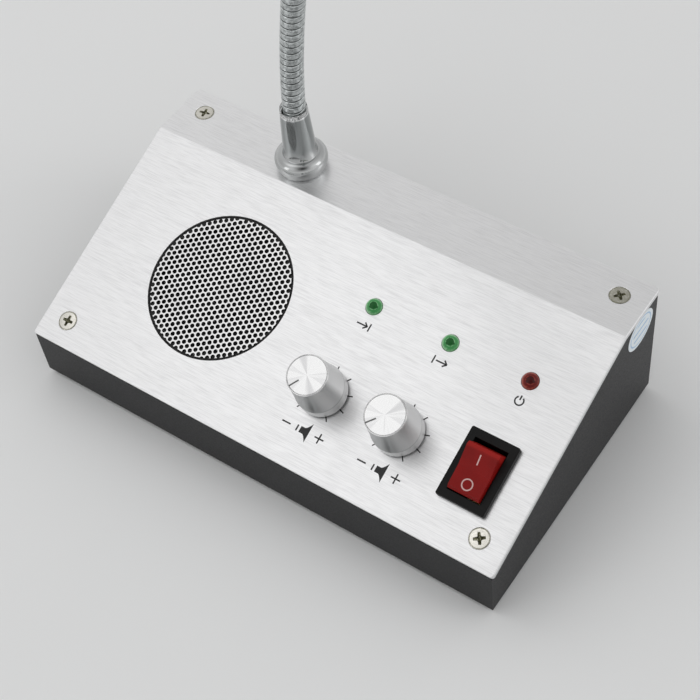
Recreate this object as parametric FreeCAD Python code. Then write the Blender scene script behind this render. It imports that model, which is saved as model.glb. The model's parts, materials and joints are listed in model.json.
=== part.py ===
import FreeCAD, Part
import math
import os
from FreeCAD import Placement, Rotation, Vector

# Counter unit of a teller window intercom. Millimetres, +Z up, +X to the right, -Y towards the teller.
# The origin is on the desk, under the middle of the housing.

# housing
body_width = 160.0
body_depth = 88.0
front_height = 19.0
back_height = 44.5
flat_depth = 19.0
desk_gap = 1.2
wall = 2.5
floor_thick = 2.5
housing_edge = 0.8
foot_radius = 5.0
foot_inset_x = 14.0
foot_inset_y = 12.0
foot_pocket = 0.6

# top panel
panel_thick = 1.5
panel_bend = 1.0
panel_corner = 1.0
panel_overhang = 0.4
panel_round = 0.3
panel_screw_inset = 8.0
panel_screw_up = 7.4
panel_screw_back = 7.3
panel_screw_length = 9.0
screw_head_radius = 3.0
screw_thread_radius = 1.5
screw_slot_width = 0.7
screw_slot_depth = 1.3
screw_slot_arm = 1.86
screw_hole_spare = 2.0
boss_radius = 3.4

# loudspeaker
speaker_shift = 0.35
speaker_shift_up = 0.12
speaker_radius = 26.0
opening_step = 3.3
grille_gap = 0.8
grille_thick = 0.6
grille_hole_radius = 0.69
grille_spacing = 1.75
grille_turn = 34.2
grille_shift_x = 0.65
grille_shift_up = 0.37
grille_margin = 0.06
grille_bite = 0.06
gasket_thick = 1.0
gasket_width = 6.2
gasket_step = 0.7
speaker_flange = 1.0
basket_thick = 0.8
basket_depth = 9.0
basket_window = 7.0
basket_window_edge = 1.4
basket_rim = 2.0
basket_seat_width = 3.0
cone_rim_step = 1.4
surround_width = 2.8
surround_roll = 0.7
surround_ledge = 1.2
cone_thick = 0.5
tag_strip_half = 3.0
tag_strip_drop = 6.0
cone_depth = 6.4
dust_cap_rise = 2.2
front_plate_radius = 14.0
front_plate_thick = 1.5
magnet_radius = 16.0
magnet_inner_radius = 9.0
magnet_thick = 5.0
pole_radius = 6.2
coil_radius = 6.9
coil_thick = 0.35
coil_gap = 0.35
coil_below_plate = 3.0
clamp_width = 8.0
clamp_thick = 1.0
clamp_overlap = 1.8
clamp_heel_gap = 0.6
clamp_angles = [60, 180, 300]
clamp_nut_flats = 5.5
clamp_nut_thick = 2.2
stud_radius = 1.5
stud_length = 7.0
stud_offset = 3.4

# controls: column places across the panel, row places up the slope
switch_inset = 16.9
column_step = 25.4
knob_up = 23.1
lamp_up = 51.4
switch_up = 22.9
pot_turn = 150.0
knob_in_pointer = -148.0
knob_out_pointer = -139.0

# knobs
knob_lift = 1.0
knob_base_radius = 7.4
knob_top_radius = 6.05
knob_height = 15.8
knob_band = 3.6
knob_edge = 0.35
knob_hollow = 0.1
knob_recess_radius = 6.3
knob_recess_top = 5.0
pointer_inner = 2.6
pointer_width = 0.5
pointer_depth = 0.25

# potentiometers
pot_radius = 8.2
pot_depth = 8.1
pot_skin = 1.0
bush_radius = 3.5
bush_top = 4.2
shaft_radius = 3.0
shaft_top = 13.2
wiper_thick = 2.4
wiper_top_gap = 0.5
wiper_side_gap = 0.4
pivot_radius = 1.5
pivot_depth = 0.6
nut_flats = 10.0
nut_thick = 2.0
tag_width = 1.2
tag_thick = 0.5
tag_pitch = 5.0
tag_root = 0.8
tag_up = 1.6

# lamps and their board
lamp_radius = 2.5
lamp_height = 8.6
lamp_flange = 0.4
lamp_flange_thick = 1.0
lamp_stand = 2.2
leg_pitch = 2.54
leg_width = 0.5
board_thick = 1.6
control_board_drop = 11.2
control_board_margin_left = 10.3
control_board_margin_right = 4.9
control_board_below = 15.2
control_board_above = 4.8
tag_inside = 2.5
leg_tail = 1.2

# rocker switch
bezel_width = 15.0
bezel_length = 21.0
bezel_thick = 2.0
bezel_corner = 0.6
bezel_edge = 0.3
rocker_hole_width = 10.4
rocker_hole_length = 16.0
frame_width = 12.8
frame_length = 18.8
frame_depth = 11.0
frame_floor = 1.5
frame_lug = 0.7
frame_lug_height = 2.6
frame_lug_root = 0.2
rocker_gap = 0.3
rocker_end_gap = 1.15
rocker_fold = 4.3
rocker_facet = 8.0
rocker_tilt = 13.0
rocker_chamfer = 0.9
rocker_depth = 3.0
rocker_wall = 1.2
rocker_end_wall = 2.0
rocker_skin = 0.4
pin_radius = 1.2
pin_seat = 0.85
pin_end_gap = 0.15
plunger_radius = 1.2
plunger_length = 6.5
plunger_roof = 1.6
contact_tilt = 8.0
contact_axis_drop = 7.6
contact_knuckle = 0.8
contact_thick = 0.5
contact_lift = 0.1
contact_half_length = 6.3
contact_half_width = 1.8
terminal_width = 4.8
terminal_thick = 0.8
terminal_drop = 18.5
post_half = 1.5
pad_inner = 5.0
pad_outer = 7.6
pad_gap = 0.15
terminal_solder = 2.5

# neck
neck_shift = 0.75
neck_back = 10.1
neck_hole_radius = 4.1
bell_height = 22.0
bell_top_radius = 4.15
bell_waist_radius = 4.9
bell_waist_height = 9.0
collar_radius = 8.0
collar_foot_radius = 7.3
collar_belly = 3.2
collar_swell = 0.2
collar_roll = 2.6
bell_sweep = 0.12
bell_sweep_up = 1.5
bell_mouth_edge = 0.3
bell_inner_gap = 0.3
bell_step_gap = 0.4
stud_neck_radius = 4.0
stud_neck_up = 8.8
stud_neck_down = 10.5
stud_neck_bore = 2.0
tube_seat_depth = 5.8
neck_nut_flats = 11.0
neck_nut_thick = 4.0
neck_washer_radius = 6.2
neck_washer_thick = 1.0
tube_radius = 3.4
tube_bore = 1.9
tube_rise = 1.8
ball_radius = 3.9
turn_pitch = 2.4
turns_per_length = 8
groove_depth = 0.28
groove_half = 0.35
length_count = 8
tilt_right = [5.8, 9.4, 13.5, 16.0, 17.0, 16.0, 14.0, 12.0]
tilt_front = [0.0, 0.0, 3.0, 10.0, 18.0, 26.0, 34.0, 42.0]

# microphone head
adapter_radius = 4.6
adapter_overlap = 5.0
adapter_taper = 6.0
adapter_edge = 0.3
adapter_flare = 0.6
adapter_flare_up = 3.7
spigot_length = 3.0
head_radius = 6.5
head_wall = 0.8
barrel_length = 26.0
cap_length = 10.0
cap_nose = 3.0
cap_skirt_wall = 0.7
cap_skirt_length = 3.0
cap_inner_step = 0.6
cap_slot_start = 1.2
cap_slot_inner = 2.2
cap_slots = 8
cap_slot_width = 1.1
cap_slot_length = 5.0
capsule_radius = 4.85
capsule_length = 6.7
capsule_drop = 1.0
capsule_ring_foot = 1.0
capsule_ring_lip = 1.0

# main board
main_board_width = 52.0
main_board_inset_right = 28.0
main_board_inset_front = 10.0
main_board_inset_back = 20.0
main_board_lift = 4.0
board_boss_radius = 3.0
board_boss_inset = 3.5
board_screw_radius = 1.25
board_screw_head = 2.4
board_screw_head_thick = 1.8
board_screw_length = 5.0
board_screw_slot = 0.6
board_screw_slot_depth = 0.8
heat_sink_width = 30.0
heat_sink_depth = 9.0
heat_sink_height = 14.0
heat_sink_base = 2.0
heat_sink_edge = 1.0
fin_thick = 1.0
fin_count = 7
chip_width = 19.2
chip_height = 11.0
chip_thick = 4.0
chip_lift = 1.5
chip_leg = 0.6
chip_leg_pairs = 3
capacitor_first = 9.0
capacitor_step = 10.0
capacitor_gap = 1.5
capacitor_edge = 0.4
capacitor_radius = 4.0
capacitor_height = 9.0
small_capacitor_radius = 3.2
small_capacitor_height = 8.0
header_width = 8.0
header_depth = 5.5
header_height = 5.8
header_pin = 0.64
header_wall = 0.8
header_floor = 1.5
header_count = 4
header_first = 12.0
header_step = 9.5
header_front = 4.5

# sockets in the rear wall
inlet_inset = 40.0
socket_step = 18.0
socket_height = 16.0
inlet_radius = 4.0
inlet_face_radius = 5.5
inlet_face_thick = 1.0
inlet_bore = 2.85
inlet_pin = 1.05
inlet_length = 12.0
inlet_floor = 1.5
inlet_pin_root = 1.0
inlet_pin_set_in = 0.6
socket_radius = 3.0
socket_bore = 1.8
socket_length = 12.0
socket_floor = 1.0
socket_block = 4.0
socket_nut_radius = 4.2
socket_nut_thick = 1.5

# inside wires
wire_radius = 0.7
wire_bend = 2.0
wire_spacing = 1.6
wire_rise = 4.0
speaker_wire_outside = 6.5
switch_wire_outside = 3.0

# clearances
running_gap = 0.05
ball_gap = 0.1
thread_gap = 0.05
hole_gap = 0.1
seat_gap = 0.02

# worked out from the sizes above
half_width = body_width / 2
half_depth = body_depth / 2
slope_run = body_depth - flat_depth
slope_rise = back_height - front_height
slope = math.degrees(math.atan2(slope_rise, slope_run))
slope_sin = math.sin(math.radians(slope))
slope_cos = math.cos(math.radians(slope))
flat_top = desk_gap + back_height
crease_y = half_depth - flat_depth
floor_top = desk_gap + floor_thick
column_switch = half_width - switch_inset
column_out = column_switch - column_step
column_in = column_out - column_step
panel_screw_x = half_width - panel_screw_inset
speaker_x = (column_in - half_width) / 2 + speaker_shift
speaker_up = math.hypot(slope_run, slope_rise) / 2 + speaker_shift_up
neck_x = speaker_x + neck_shift
opening_radius = speaker_radius - opening_step
grille_radius = opening_radius - grille_gap
gasket_inner_radius = speaker_radius - gasket_width
main_board_right = half_width - main_board_inset_right
main_board_left = main_board_right - main_board_width
main_board_front = main_board_inset_front - half_depth
main_board_back = half_depth - main_board_inset_back
control_board_left = column_in - control_board_margin_left
control_board_right = column_switch + control_board_margin_right
control_board_low = lamp_up - control_board_below
control_board_high = lamp_up + control_board_above
inlet_x = half_width - inlet_inset
socket_x = inlet_x - 2 * socket_step - socket_radius
board_top = floor_top + main_board_lift + board_thick
neck_y = half_depth - neck_back
length_pitch = turn_pitch * turns_per_length
cup_radius = ball_radius + ball_gap
ball_drop = math.sqrt(ball_radius**2 - tube_radius**2)
cup_rise = math.sqrt(cup_radius**2 - tube_radius**2)
tiny = 0.01
weld = 0.5
past = 1.0


def cylinder(radius, low, high, x=0.0, y=0.0):
    return Part.makeCylinder(radius, high - low, Vector(x, y, low))


def box(x0, x1, y0, y1, z0, z1):
    return Part.makeBox(x1 - x0, y1 - y0, z1 - z0, Vector(x0, y0, z0))


def positive(solid):
    return solid if solid.Volume > 0 else solid.reversed()


def outline(points):
    # a point of four numbers ends an arc that passes through the last two
    edges = []
    for start, end in zip(points, points[1:] + points[:1]):
        a = Vector(start[0], 0, start[1])
        b = Vector(end[0], 0, end[1])
        if len(end) == 4:
            edges.append(Part.Arc(a, Vector(end[2], 0, end[3]), b).toShape())
        else:
            edges.append(Part.LineSegment(a, b).toShape())
    return Part.Face(Part.Wire(edges))


def turned(points):
    # (radius, height) outline turned about Z
    return positive(outline(points).revolve(Vector(0, 0, 0), Vector(0, 0, 1), 360))


def prism(points, x0, x1):
    # (y, z) outline carried along X
    corners = [Vector(x0, y, z) for y, z in points]
    face = Part.Face(Part.makePolygon(corners + corners[:1]))
    return positive(face.extrude(Vector(x1 - x0, 0, 0)))


def hexagon(flats, low, high, bore):
    reach = flats / 2 / math.cos(math.radians(30))
    corners = []
    for step in range(6):
        angle = math.radians(60 * step)
        corners.append(Vector(reach * math.cos(angle), reach * math.sin(angle), low))
    face = Part.Face(Part.makePolygon(corners + corners[:1]))
    return face.extrude(Vector(0, 0, high - low)).cut(cylinder(bore, low, high))


def fuse(first, *others):
    solid = first
    for other in others:
        solid = solid.fuse(other)
    return solid.removeSplitter()


def cut(first, *others):
    solid = first
    for other in others:
        solid = solid.cut(other)
    return solid


def slope_point(x, up, height=0.0):
    # up is measured along the slope from its front edge, height square to it
    y = -half_depth + up * slope_cos - height * slope_sin
    z = desk_gap + front_height + up * slope_sin + height * slope_cos
    return Vector(x, y, z)


def moved(shape, placement):
    placed = shape.copy()
    placed.Placement = placement.multiply(placed.Placement)
    return placed


def on_slope(shape, x, up):
    return moved(shape, Placement(slope_point(x, up), Rotation(Vector(1, 0, 0), slope)))


def on_flat(shape, x, back):
    placed = shape.copy()
    placed.translate(Vector(x, half_depth - back, flat_top))
    return placed


def lie_down(shape):
    # turns a shape's +Z axis to +Y
    placed = shape.copy()
    placed.rotate(Vector(0, 0, 0), Vector(1, 0, 0), -90)
    return placed


# ---- housing and panel


def under_slope(y):
    # height of the panel's underside over a place on the slope
    return desk_gap + front_height + (y + half_depth) * slope_rise / slope_run - panel_thick / slope_cos


def under_crease():
    return crease_y + panel_thick * math.tan(math.radians(slope / 2)), flat_top - panel_thick


def panel_seats():
    # the four panel screws, as (placing function, x, distance)
    seats = []
    for side in (-1, 1):
        seats.append((on_slope, side * panel_screw_x, panel_screw_up))
        seats.append((on_flat, side * panel_screw_x, panel_screw_back))
    return seats


def board_corners():
    corners = []
    for x in (main_board_left + board_boss_inset, main_board_right - board_boss_inset):
        for y in (main_board_front + board_boss_inset, main_board_back - board_boss_inset):
            corners.append((x, y))
    return corners


def foot_places():
    places = []
    for x in (foot_inset_x - half_width, half_width - foot_inset_x):
        for y in (foot_inset_y - half_depth, half_depth - foot_inset_y):
            places.append((x, y))
    return places


def socket_places():
    return [socket_x, socket_x + socket_step]


def housing_block():
    points = [
        (-half_depth, desk_gap),
        (-half_depth, under_slope(-half_depth)),
        under_crease(),
        (half_depth, flat_top - panel_thick),
        (half_depth, desk_gap),
    ]
    block = prism(points, -half_width, half_width)
    base = [edge for edge in block.Edges if edge.BoundBox.ZMax < desk_gap + tiny]
    return block.makeFillet(housing_edge, base)


def housing_tub():
    block = housing_block()
    hollow = box(
        wall - half_width, half_width - wall, wall - half_depth, half_depth - wall, floor_top, flat_top + past
    )
    tub = block.cut(hollow)
    reach = cylinder(boss_radius, -back_height, -panel_thick)
    thread = cylinder(screw_thread_radius + thread_gap, -panel_screw_length - screw_hole_spare, 0)
    bosses = [place(reach, x, d).common(block) for place, x, d in panel_seats()]
    board_low = board_top - board_thick
    posts = [cylinder(board_boss_radius, desk_gap + weld, board_low, x, y) for x, y in board_corners()]
    tub = fuse(tub, *bosses, *posts)
    for place, x, d in panel_seats():
        tub = tub.cut(place(thread, x, d))
    for x, y in board_corners():
        low = board_low - board_screw_length
        tub = tub.cut(cylinder(board_screw_radius + thread_gap, low, board_low + past, x, y))
    for x, y in foot_places():
        tub = tub.cut(cylinder(foot_radius + hole_gap, 0, desk_gap + foot_pocket, x, y))
    for x in socket_places():
        tub = tub.cut(rear_hole(socket_radius, x))
    return tub.cut(rear_hole(inlet_radius, inlet_x))


def rear_hole(radius, x):
    hole = lie_down(cylinder(radius + hole_gap, -wall - past, past))
    hole.translate(Vector(x, half_depth, socket_height))
    return hole


def rubber_feet():
    return [cylinder(foot_radius, 0, desk_gap + foot_pocket, x, y) for x, y in foot_places()]


def panel_hole(radius):
    return cylinder(radius, -panel_thick - past, past)


def countersink():
    thread = screw_thread_radius + hole_gap
    head = screw_head_radius + hole_gap
    depth = min(head - thread, panel_thick)
    low = -panel_thick - past
    return turned([(0, past), (head, past), (head, 0), (head - depth, -depth), (thread, low), (0, low)])


def bent_sheet():
    # the sheet stands out past the walls all round, its edges cut square and its upper rim rounded
    front_low = slope_point(0, -panel_overhang, -panel_thick)
    front_high = slope_point(0, -panel_overhang)
    back = half_depth + panel_overhang
    side = half_width + panel_overhang
    points = [
        (front_low.y, front_low.z),
        (front_high.y, front_high.z),
        (crease_y, flat_top),
        (back, flat_top),
        (back, flat_top - panel_thick),
        under_crease(),
    ]
    sheet = prism(points, -side, side)
    corners = [e for e in sheet.Edges if e.BoundBox.XLength < tiny and e.Length < 2 * panel_thick]
    sheet = sheet.makeFillet(panel_corner, corners)
    bend = [e for e in sheet.Edges if on_crease(e.BoundBox)]
    sheet = sheet.makeFillet(panel_bend, bend)
    front = front_high.y + panel_corner
    rim = [e for e in sheet.Edges if on_rim(e.CenterOfMass, side - panel_corner, front, back - panel_corner)]
    return sheet.makeFillet(panel_round, rim)


def on_crease(b):
    return b.ZMin > flat_top - tiny and abs(b.YMax - crease_y) < tiny


def on_rim(middle, side, front, back):
    # whether an edge's middle lies on the outer face and along the sheet's outline
    below = min(under_slope(middle.y) + panel_thick / slope_cos, flat_top) - middle.z
    outside = abs(middle.x) > side or middle.y < front or middle.y > back
    return outside and below < panel_thick / 4


def top_panel():
    sheet = bent_sheet()
    for x in (column_in, column_out):
        sheet = sheet.cut(on_slope(panel_hole(bush_radius + hole_gap), x, knob_up))
    for x in (column_in, column_out, column_switch):
        sheet = sheet.cut(on_slope(panel_hole(lamp_radius + hole_gap), x, lamp_up))
    sheet = sheet.cut(on_slope(panel_hole(opening_radius), speaker_x, speaker_up))
    sheet = sheet.cut(on_flat(panel_hole(neck_hole_radius), neck_x, neck_back))
    half_x = frame_width / 2 + hole_gap
    half_up = frame_length / 2 + hole_gap
    window = box(-half_x, half_x, -half_up, half_up, -panel_thick - past, past)
    sheet = sheet.cut(on_slope(window, column_switch, switch_up))
    for place, x, d in panel_seats():
        sheet = sheet.cut(place(countersink(), x, d))
    studs = [on_slope(stud, speaker_x, speaker_up) for stud in speaker_studs()]
    return fuse(sheet, *studs)


def panel_screw():
    head = screw_head_radius
    thread = screw_thread_radius
    low = -panel_screw_length
    body = turned([(0, 0), (head, 0), (thread, thread - head), (thread, low), (0, low)])
    arm = screw_slot_arm
    half = screw_slot_width / 2
    slot_x = box(-arm, arm, -half, half, -screw_slot_depth, past)
    slot_y = box(-half, half, -arm, arm, -screw_slot_depth, past)
    return cut(body, slot_x, slot_y)


def panel_screws():
    return [place(panel_screw(), x, d) for place, x, d in panel_seats()]


# ---- loudspeaker, heights counted down from the panel's outer face

gasket_top = -panel_thick
grille_low = gasket_top + gasket_step
flange_top = gasket_top - gasket_thick
flange_low = flange_top - speaker_flange
plate_top = flange_low - basket_depth
magnet_top = plate_top - front_plate_thick
magnet_low = magnet_top - magnet_thick


def at_speaker(shape):
    return on_slope(shape, speaker_x, speaker_up)


def grille_centres(inner, outer):
    # the holes of the staggered rows whose centres lie between two distances from the middle
    count = int(2 * grille_radius / grille_spacing)
    turn = math.radians(grille_turn)
    centres = []
    for row in range(-count, count + 1):
        for place in range(-count, count + 1):
            along = grille_spacing * (place + row / 2)
            across = grille_spacing * row * math.sqrt(3) / 2
            x = along * math.cos(turn) - across * math.sin(turn) + grille_shift_x
            y = along * math.sin(turn) + across * math.cos(turn) + grille_shift_up
            if inner <= math.hypot(x, y) <= outer:
                centres.append((x, y))
    return centres


def speaker_grille():
    # punched sheet cut to a disc: whole holes inside, and holes that the rim cuts through;
    # a hole that would only touch the rim lies a little further out
    up = Vector(0, 0, 1)
    whole = grille_radius - grille_hole_radius - grille_margin
    rings = [Part.Wire(Part.makeCircle(grille_radius, Vector(0, 0, grille_low), up))]
    for x, y in grille_centres(0.0, whole):
        rings.append(Part.Wire(Part.makeCircle(grille_hole_radius, Vector(x, y, grille_low), up)))
    face = Part.makeFace(Part.Compound(rings), "Part::FaceMakerBullseye")
    disc = face.extrude(Vector(0, 0, grille_thick))
    low = grille_low - past
    high = grille_low + grille_thick + past
    nearest = grille_radius - grille_hole_radius + grille_bite
    furthest = grille_radius + grille_hole_radius - grille_bite
    bites = []
    for x, y in grille_centres(whole, furthest):
        outwards = max(1.0, nearest / math.hypot(x, y))
        bites.append(cylinder(grille_hole_radius, low, high, x * outwards, y * outwards))
    return at_speaker(disc.cut(Part.Compound(bites)))


def grille_gasket():
    # rubber ring held under the panel, with a step that fills the opening's edge up to the grille
    ring = cylinder(speaker_radius, flange_top, gasket_top)
    step = cylinder(opening_radius - hole_gap, flange_top, grille_low)
    return at_speaker(fuse(ring, step).cut(cylinder(gasket_inner_radius, flange_top, grille_low)))


def speaker_basket():
    # flange with a ledge for the surround, sloping frame with windows, flat bottom ring
    inner = front_plate_radius
    rim = speaker_radius - basket_rim
    ledge = cone_rim()
    seat = coil_radius + basket_seat_width
    shell = turned([
        (speaker_radius, flange_top),
        (ledge, flange_top),
        (ledge, flange_top - cone_thick),
        (ledge - surround_ledge, flange_top - cone_thick),
        (rim - basket_thick, flange_low),
        (inner - basket_thick, plate_top + basket_thick),
        (seat, plate_top + basket_thick),
        (seat, plate_top),
        (inner, plate_top),
        (rim, flange_low),
        (speaker_radius, flange_low),
    ])
    edge = basket_window_edge
    half = basket_window / 2
    window = box(inner + edge, rim - edge, -half, half, plate_top + edge, flange_low - edge)
    for quarter in range(4):
        opening = window.copy()
        opening.rotate(Vector(0, 0, 0), Vector(0, 0, 1), 45 + 90 * quarter)
        shell = shell.cut(opening)
    return at_speaker(fuse(shell, solder_tag()))


def solder_tag():
    # strip under the flange on the control side, where the two wires end
    reach = tag_strip_reach()
    half = tag_strip_half
    return box(reach - basket_thick, reach, -half, half, tag_strip_low(), flange_low + tiny)


def tag_strip_reach():
    return speaker_radius - basket_rim / 2


def tag_strip_low():
    return flange_low - tag_strip_drop


def cone_rim():
    return speaker_radius - cone_rim_step


def speaker_cone():
    # flat edge glued on the ledge, a roll hanging between, then the paper cone down to the coil
    edge = cone_rim() - seat_gap
    outer = cone_rim() - surround_ledge
    inner = outer - surround_width
    middle = (outer + inner) / 2
    top = flange_top
    low = top - cone_depth
    t = cone_thick
    return at_speaker(turned([
        (edge, top),
        (outer, top),
        (inner, top, middle, top - surround_roll),
        (coil_radius, low),
        (coil_radius, low - t),
        (inner, top - t),
        (outer, top - t, middle, top - surround_roll - t),
        (edge, top - t),
    ]))


def arc_over_axis(radius, rise):
    # the point half way round the arc that starts level on the axis and falls by rise at radius
    ball = (radius**2 + rise**2) / (2 * rise)
    half = math.asin(radius / ball) / 2
    return ball * math.sin(half), ball * (math.cos(half) - 1)


def speaker_dust_cap():
    # thin cap glued on the end of the coil
    rim = flange_top - cone_depth
    t = cone_thick
    r = coil_radius
    outer_x, outer_fall = arc_over_axis(r, dust_cap_rise)
    inner_x, inner_fall = arc_over_axis(r - t, dust_cap_rise - t)
    peak = rim + dust_cap_rise
    return at_speaker(turned([
        (0, peak),
        (r, rim, outer_x, peak + outer_fall),
        (r - t, rim),
        (0, peak - t, inner_x, peak - t + inner_fall),
    ]))


def voice_coil():
    low = magnet_top - coil_below_plate
    top = flange_top - cone_depth
    return at_speaker(cylinder(coil_radius, low, top).cut(cylinder(coil_radius - coil_thick, low, top)))


def speaker_front_plate():
    bore = coil_radius + coil_gap
    plate = cylinder(front_plate_radius, magnet_top, plate_top)
    return at_speaker(plate.cut(cylinder(bore, magnet_top, plate_top)))


def speaker_magnet():
    ring = cylinder(magnet_radius, magnet_low, magnet_top)
    return at_speaker(ring.cut(cylinder(magnet_inner_radius, magnet_low, magnet_top)))


def speaker_yoke():
    plate = cylinder(front_plate_radius, magnet_low - front_plate_thick, magnet_low)
    return at_speaker(fuse(plate, cylinder(pole_radius, magnet_low - weld, plate_top)))


def stud_reach():
    return speaker_radius + stud_offset


def around_speaker(shape):
    turns = []
    for angle in clamp_angles:
        turned_shape = shape.copy()
        turned_shape.rotate(Vector(0, 0, 0), Vector(0, 0, 1), angle)
        turns.append(turned_shape)
    return turns


def speaker_studs():
    stud = cylinder(stud_radius, -panel_thick - stud_length, -panel_thick, stud_reach(), 0)
    return around_speaker(stud)


def speaker_clamps():
    inner = speaker_radius - clamp_overlap
    heel = stud_reach() + stud_radius + clamp_heel_gap
    half = clamp_width / 2
    low = flange_low - clamp_thick
    tab = box(inner, heel + clamp_thick, -half, half, low, flange_low)
    foot = box(heel, heel + clamp_thick, -half, half, low, gasket_top)
    hole = cylinder(stud_radius + hole_gap, low - past, flange_low + past, stud_reach(), 0)
    clamp = fuse(tab, foot).cut(hole)
    return [at_speaker(shape) for shape in around_speaker(clamp)]


def clamp_nuts():
    top = flange_low - clamp_thick
    nut = hexagon(clamp_nut_flats, top - clamp_nut_thick, top, stud_radius + thread_gap)
    nut.translate(Vector(stud_reach(), 0, 0))
    return [at_speaker(shape) for shape in around_speaker(nut)]


# ---- potentiometers and knobs

can_top = -panel_thick
can_low = can_top - pot_depth
hollow_top = can_top - pot_skin
hollow_low = can_low + pot_skin
wiper_top = hollow_top - wiper_top_gap


def knob_columns():
    return [column_in, column_out]


def knob(x, pointer):
    # skirt band, concave taper, spun top with a pointer groove, recess over the nut, bore for the shaft
    base = knob_lift
    band = base + knob_band
    top = knob_height
    middle = (band + top) / 2
    waist = (knob_base_radius + knob_top_radius) / 2 - knob_hollow
    body = turned([
        (0, base),
        (knob_base_radius, base),
        (knob_base_radius, band),
        (knob_top_radius, top - knob_edge, waist, middle),
        (knob_top_radius - knob_edge, top),
        (0, top),
    ])
    recess = cylinder(knob_recess_radius, base - past, knob_recess_top)
    bore = cylinder(shaft_radius + seat_gap, base, shaft_top + seat_gap)
    half = pointer_width / 2
    groove = box(-half, half, pointer_inner, knob_top_radius + past, top - pointer_depth, top + past)
    groove.rotate(Vector(0, 0, 0), Vector(0, 0, 1), -pointer)
    return on_slope(cut(body, recess, bore, groove), x, knob_up)


def pot_shaft(x):
    wiper = cylinder(pot_radius - pot_skin - wiper_side_gap, wiper_top - wiper_thick, wiper_top)
    stem = cylinder(shaft_radius, wiper_top - weld, shaft_top)
    pivot = cylinder(pivot_radius, hollow_low - pivot_depth, wiper_top - wiper_thick + weld)
    return on_slope(fuse(wiper, stem, pivot), x, knob_up)


def pot_can():
    can = cylinder(pot_radius, can_low, can_top)
    bush = cylinder(bush_radius, can_top - weld, bush_top)
    body = fuse(can, bush).cut(cylinder(pot_radius - pot_skin, hollow_low, hollow_top))
    body = body.cut(cylinder(shaft_radius + running_gap, hollow_top - weld, bush_top + past))
    pit = hollow_low - pivot_depth - hole_gap
    body = body.cut(cylinder(pivot_radius + running_gap, pit, hollow_low + weld))
    tags = []
    inner = pot_radius - tag_root
    outer = tag_reach()
    high = can_low + tag_up
    for step in (-1, 0, 1):
        x = step * tag_pitch
        start = math.sqrt(inner**2 - x**2)
        flat = box(x - tag_width / 2, x + tag_width / 2, start, outer, high - tag_thick, high)
        drop = -control_board_drop - board_thick - leg_tail
        leg = box(x - tag_width / 2, x + tag_width / 2, outer - tag_thick, outer, drop, high)
        tags.extend([flat, leg])
    return fuse(body, *tags)


def tag_reach():
    # the tags turn down just inside the lower edge of the lamp board
    return control_board_low - knob_up + tag_inside


def pot_cans():
    return [on_slope(pot_can(), x, knob_up) for x in knob_columns()]


def pot_nuts():
    nut = hexagon(nut_flats, 0, nut_thick, bush_radius + thread_gap)
    return [on_slope(nut, x, knob_up) for x in knob_columns()]


# ---- lamps

lamp_top = lamp_stand
lamp_low = lamp_top - lamp_height


def lamp_columns():
    return [column_in, column_out, column_switch]


def lamp(x):
    shoulder = lamp_top - lamp_radius
    flange = lamp_radius + lamp_flange
    round_mid = lamp_radius * math.sin(math.radians(45))
    body = turned([
        (0, lamp_low),
        (flange, lamp_low),
        (flange, lamp_low + lamp_flange_thick),
        (lamp_radius, lamp_low + lamp_flange_thick),
        (lamp_radius, shoulder),
        (0, lamp_top, round_mid, shoulder + round_mid),
    ])
    return on_slope(body, x, lamp_up)


def leg_box(offset, low, high, grow=0.0):
    half = leg_width / 2 + grow
    return box(offset - half, offset + half, -half, half, low, high)


def lamp_legs():
    legs = []
    drop = -control_board_drop - board_thick - leg_tail
    for x in lamp_columns():
        for offset in (-leg_pitch / 2, leg_pitch / 2):
            legs.append(on_slope(leg_box(offset, drop, lamp_low), x, lamp_up))
    return legs


def control_board():
    top = -control_board_drop
    low = top - board_thick
    board = box(control_board_left, control_board_right, control_board_low, control_board_high, low, top)
    for x in lamp_columns():
        for offset in (-leg_pitch / 2, leg_pitch / 2):
            hole = leg_box(offset, low - past, top + past, seat_gap)
            hole.translate(Vector(x, lamp_up, 0))
            board = board.cut(hole)
    half = tag_width / 2 + seat_gap
    outer = knob_up + tag_reach()
    for x in knob_columns():
        for step in (-1, 0, 1):
            mid = x + step * tag_pitch
            inner = outer - tag_thick
            slot = box(mid - half, mid + half, inner - seat_gap, outer + seat_gap, low - past, top + past)
            board = board.cut(slot)
    return on_slope(board, 0, 0)


# ---- rocker switch, placed in its own frame: x across, y up the slope, z out of the panel


def at_switch(shape):
    return on_slope(shape, column_switch, switch_up)


def rocker_reach():
    return rocker_hole_length / 2 - rocker_end_gap


def rocker_half_width():
    return rocker_hole_width / 2 - rocker_gap


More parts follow.
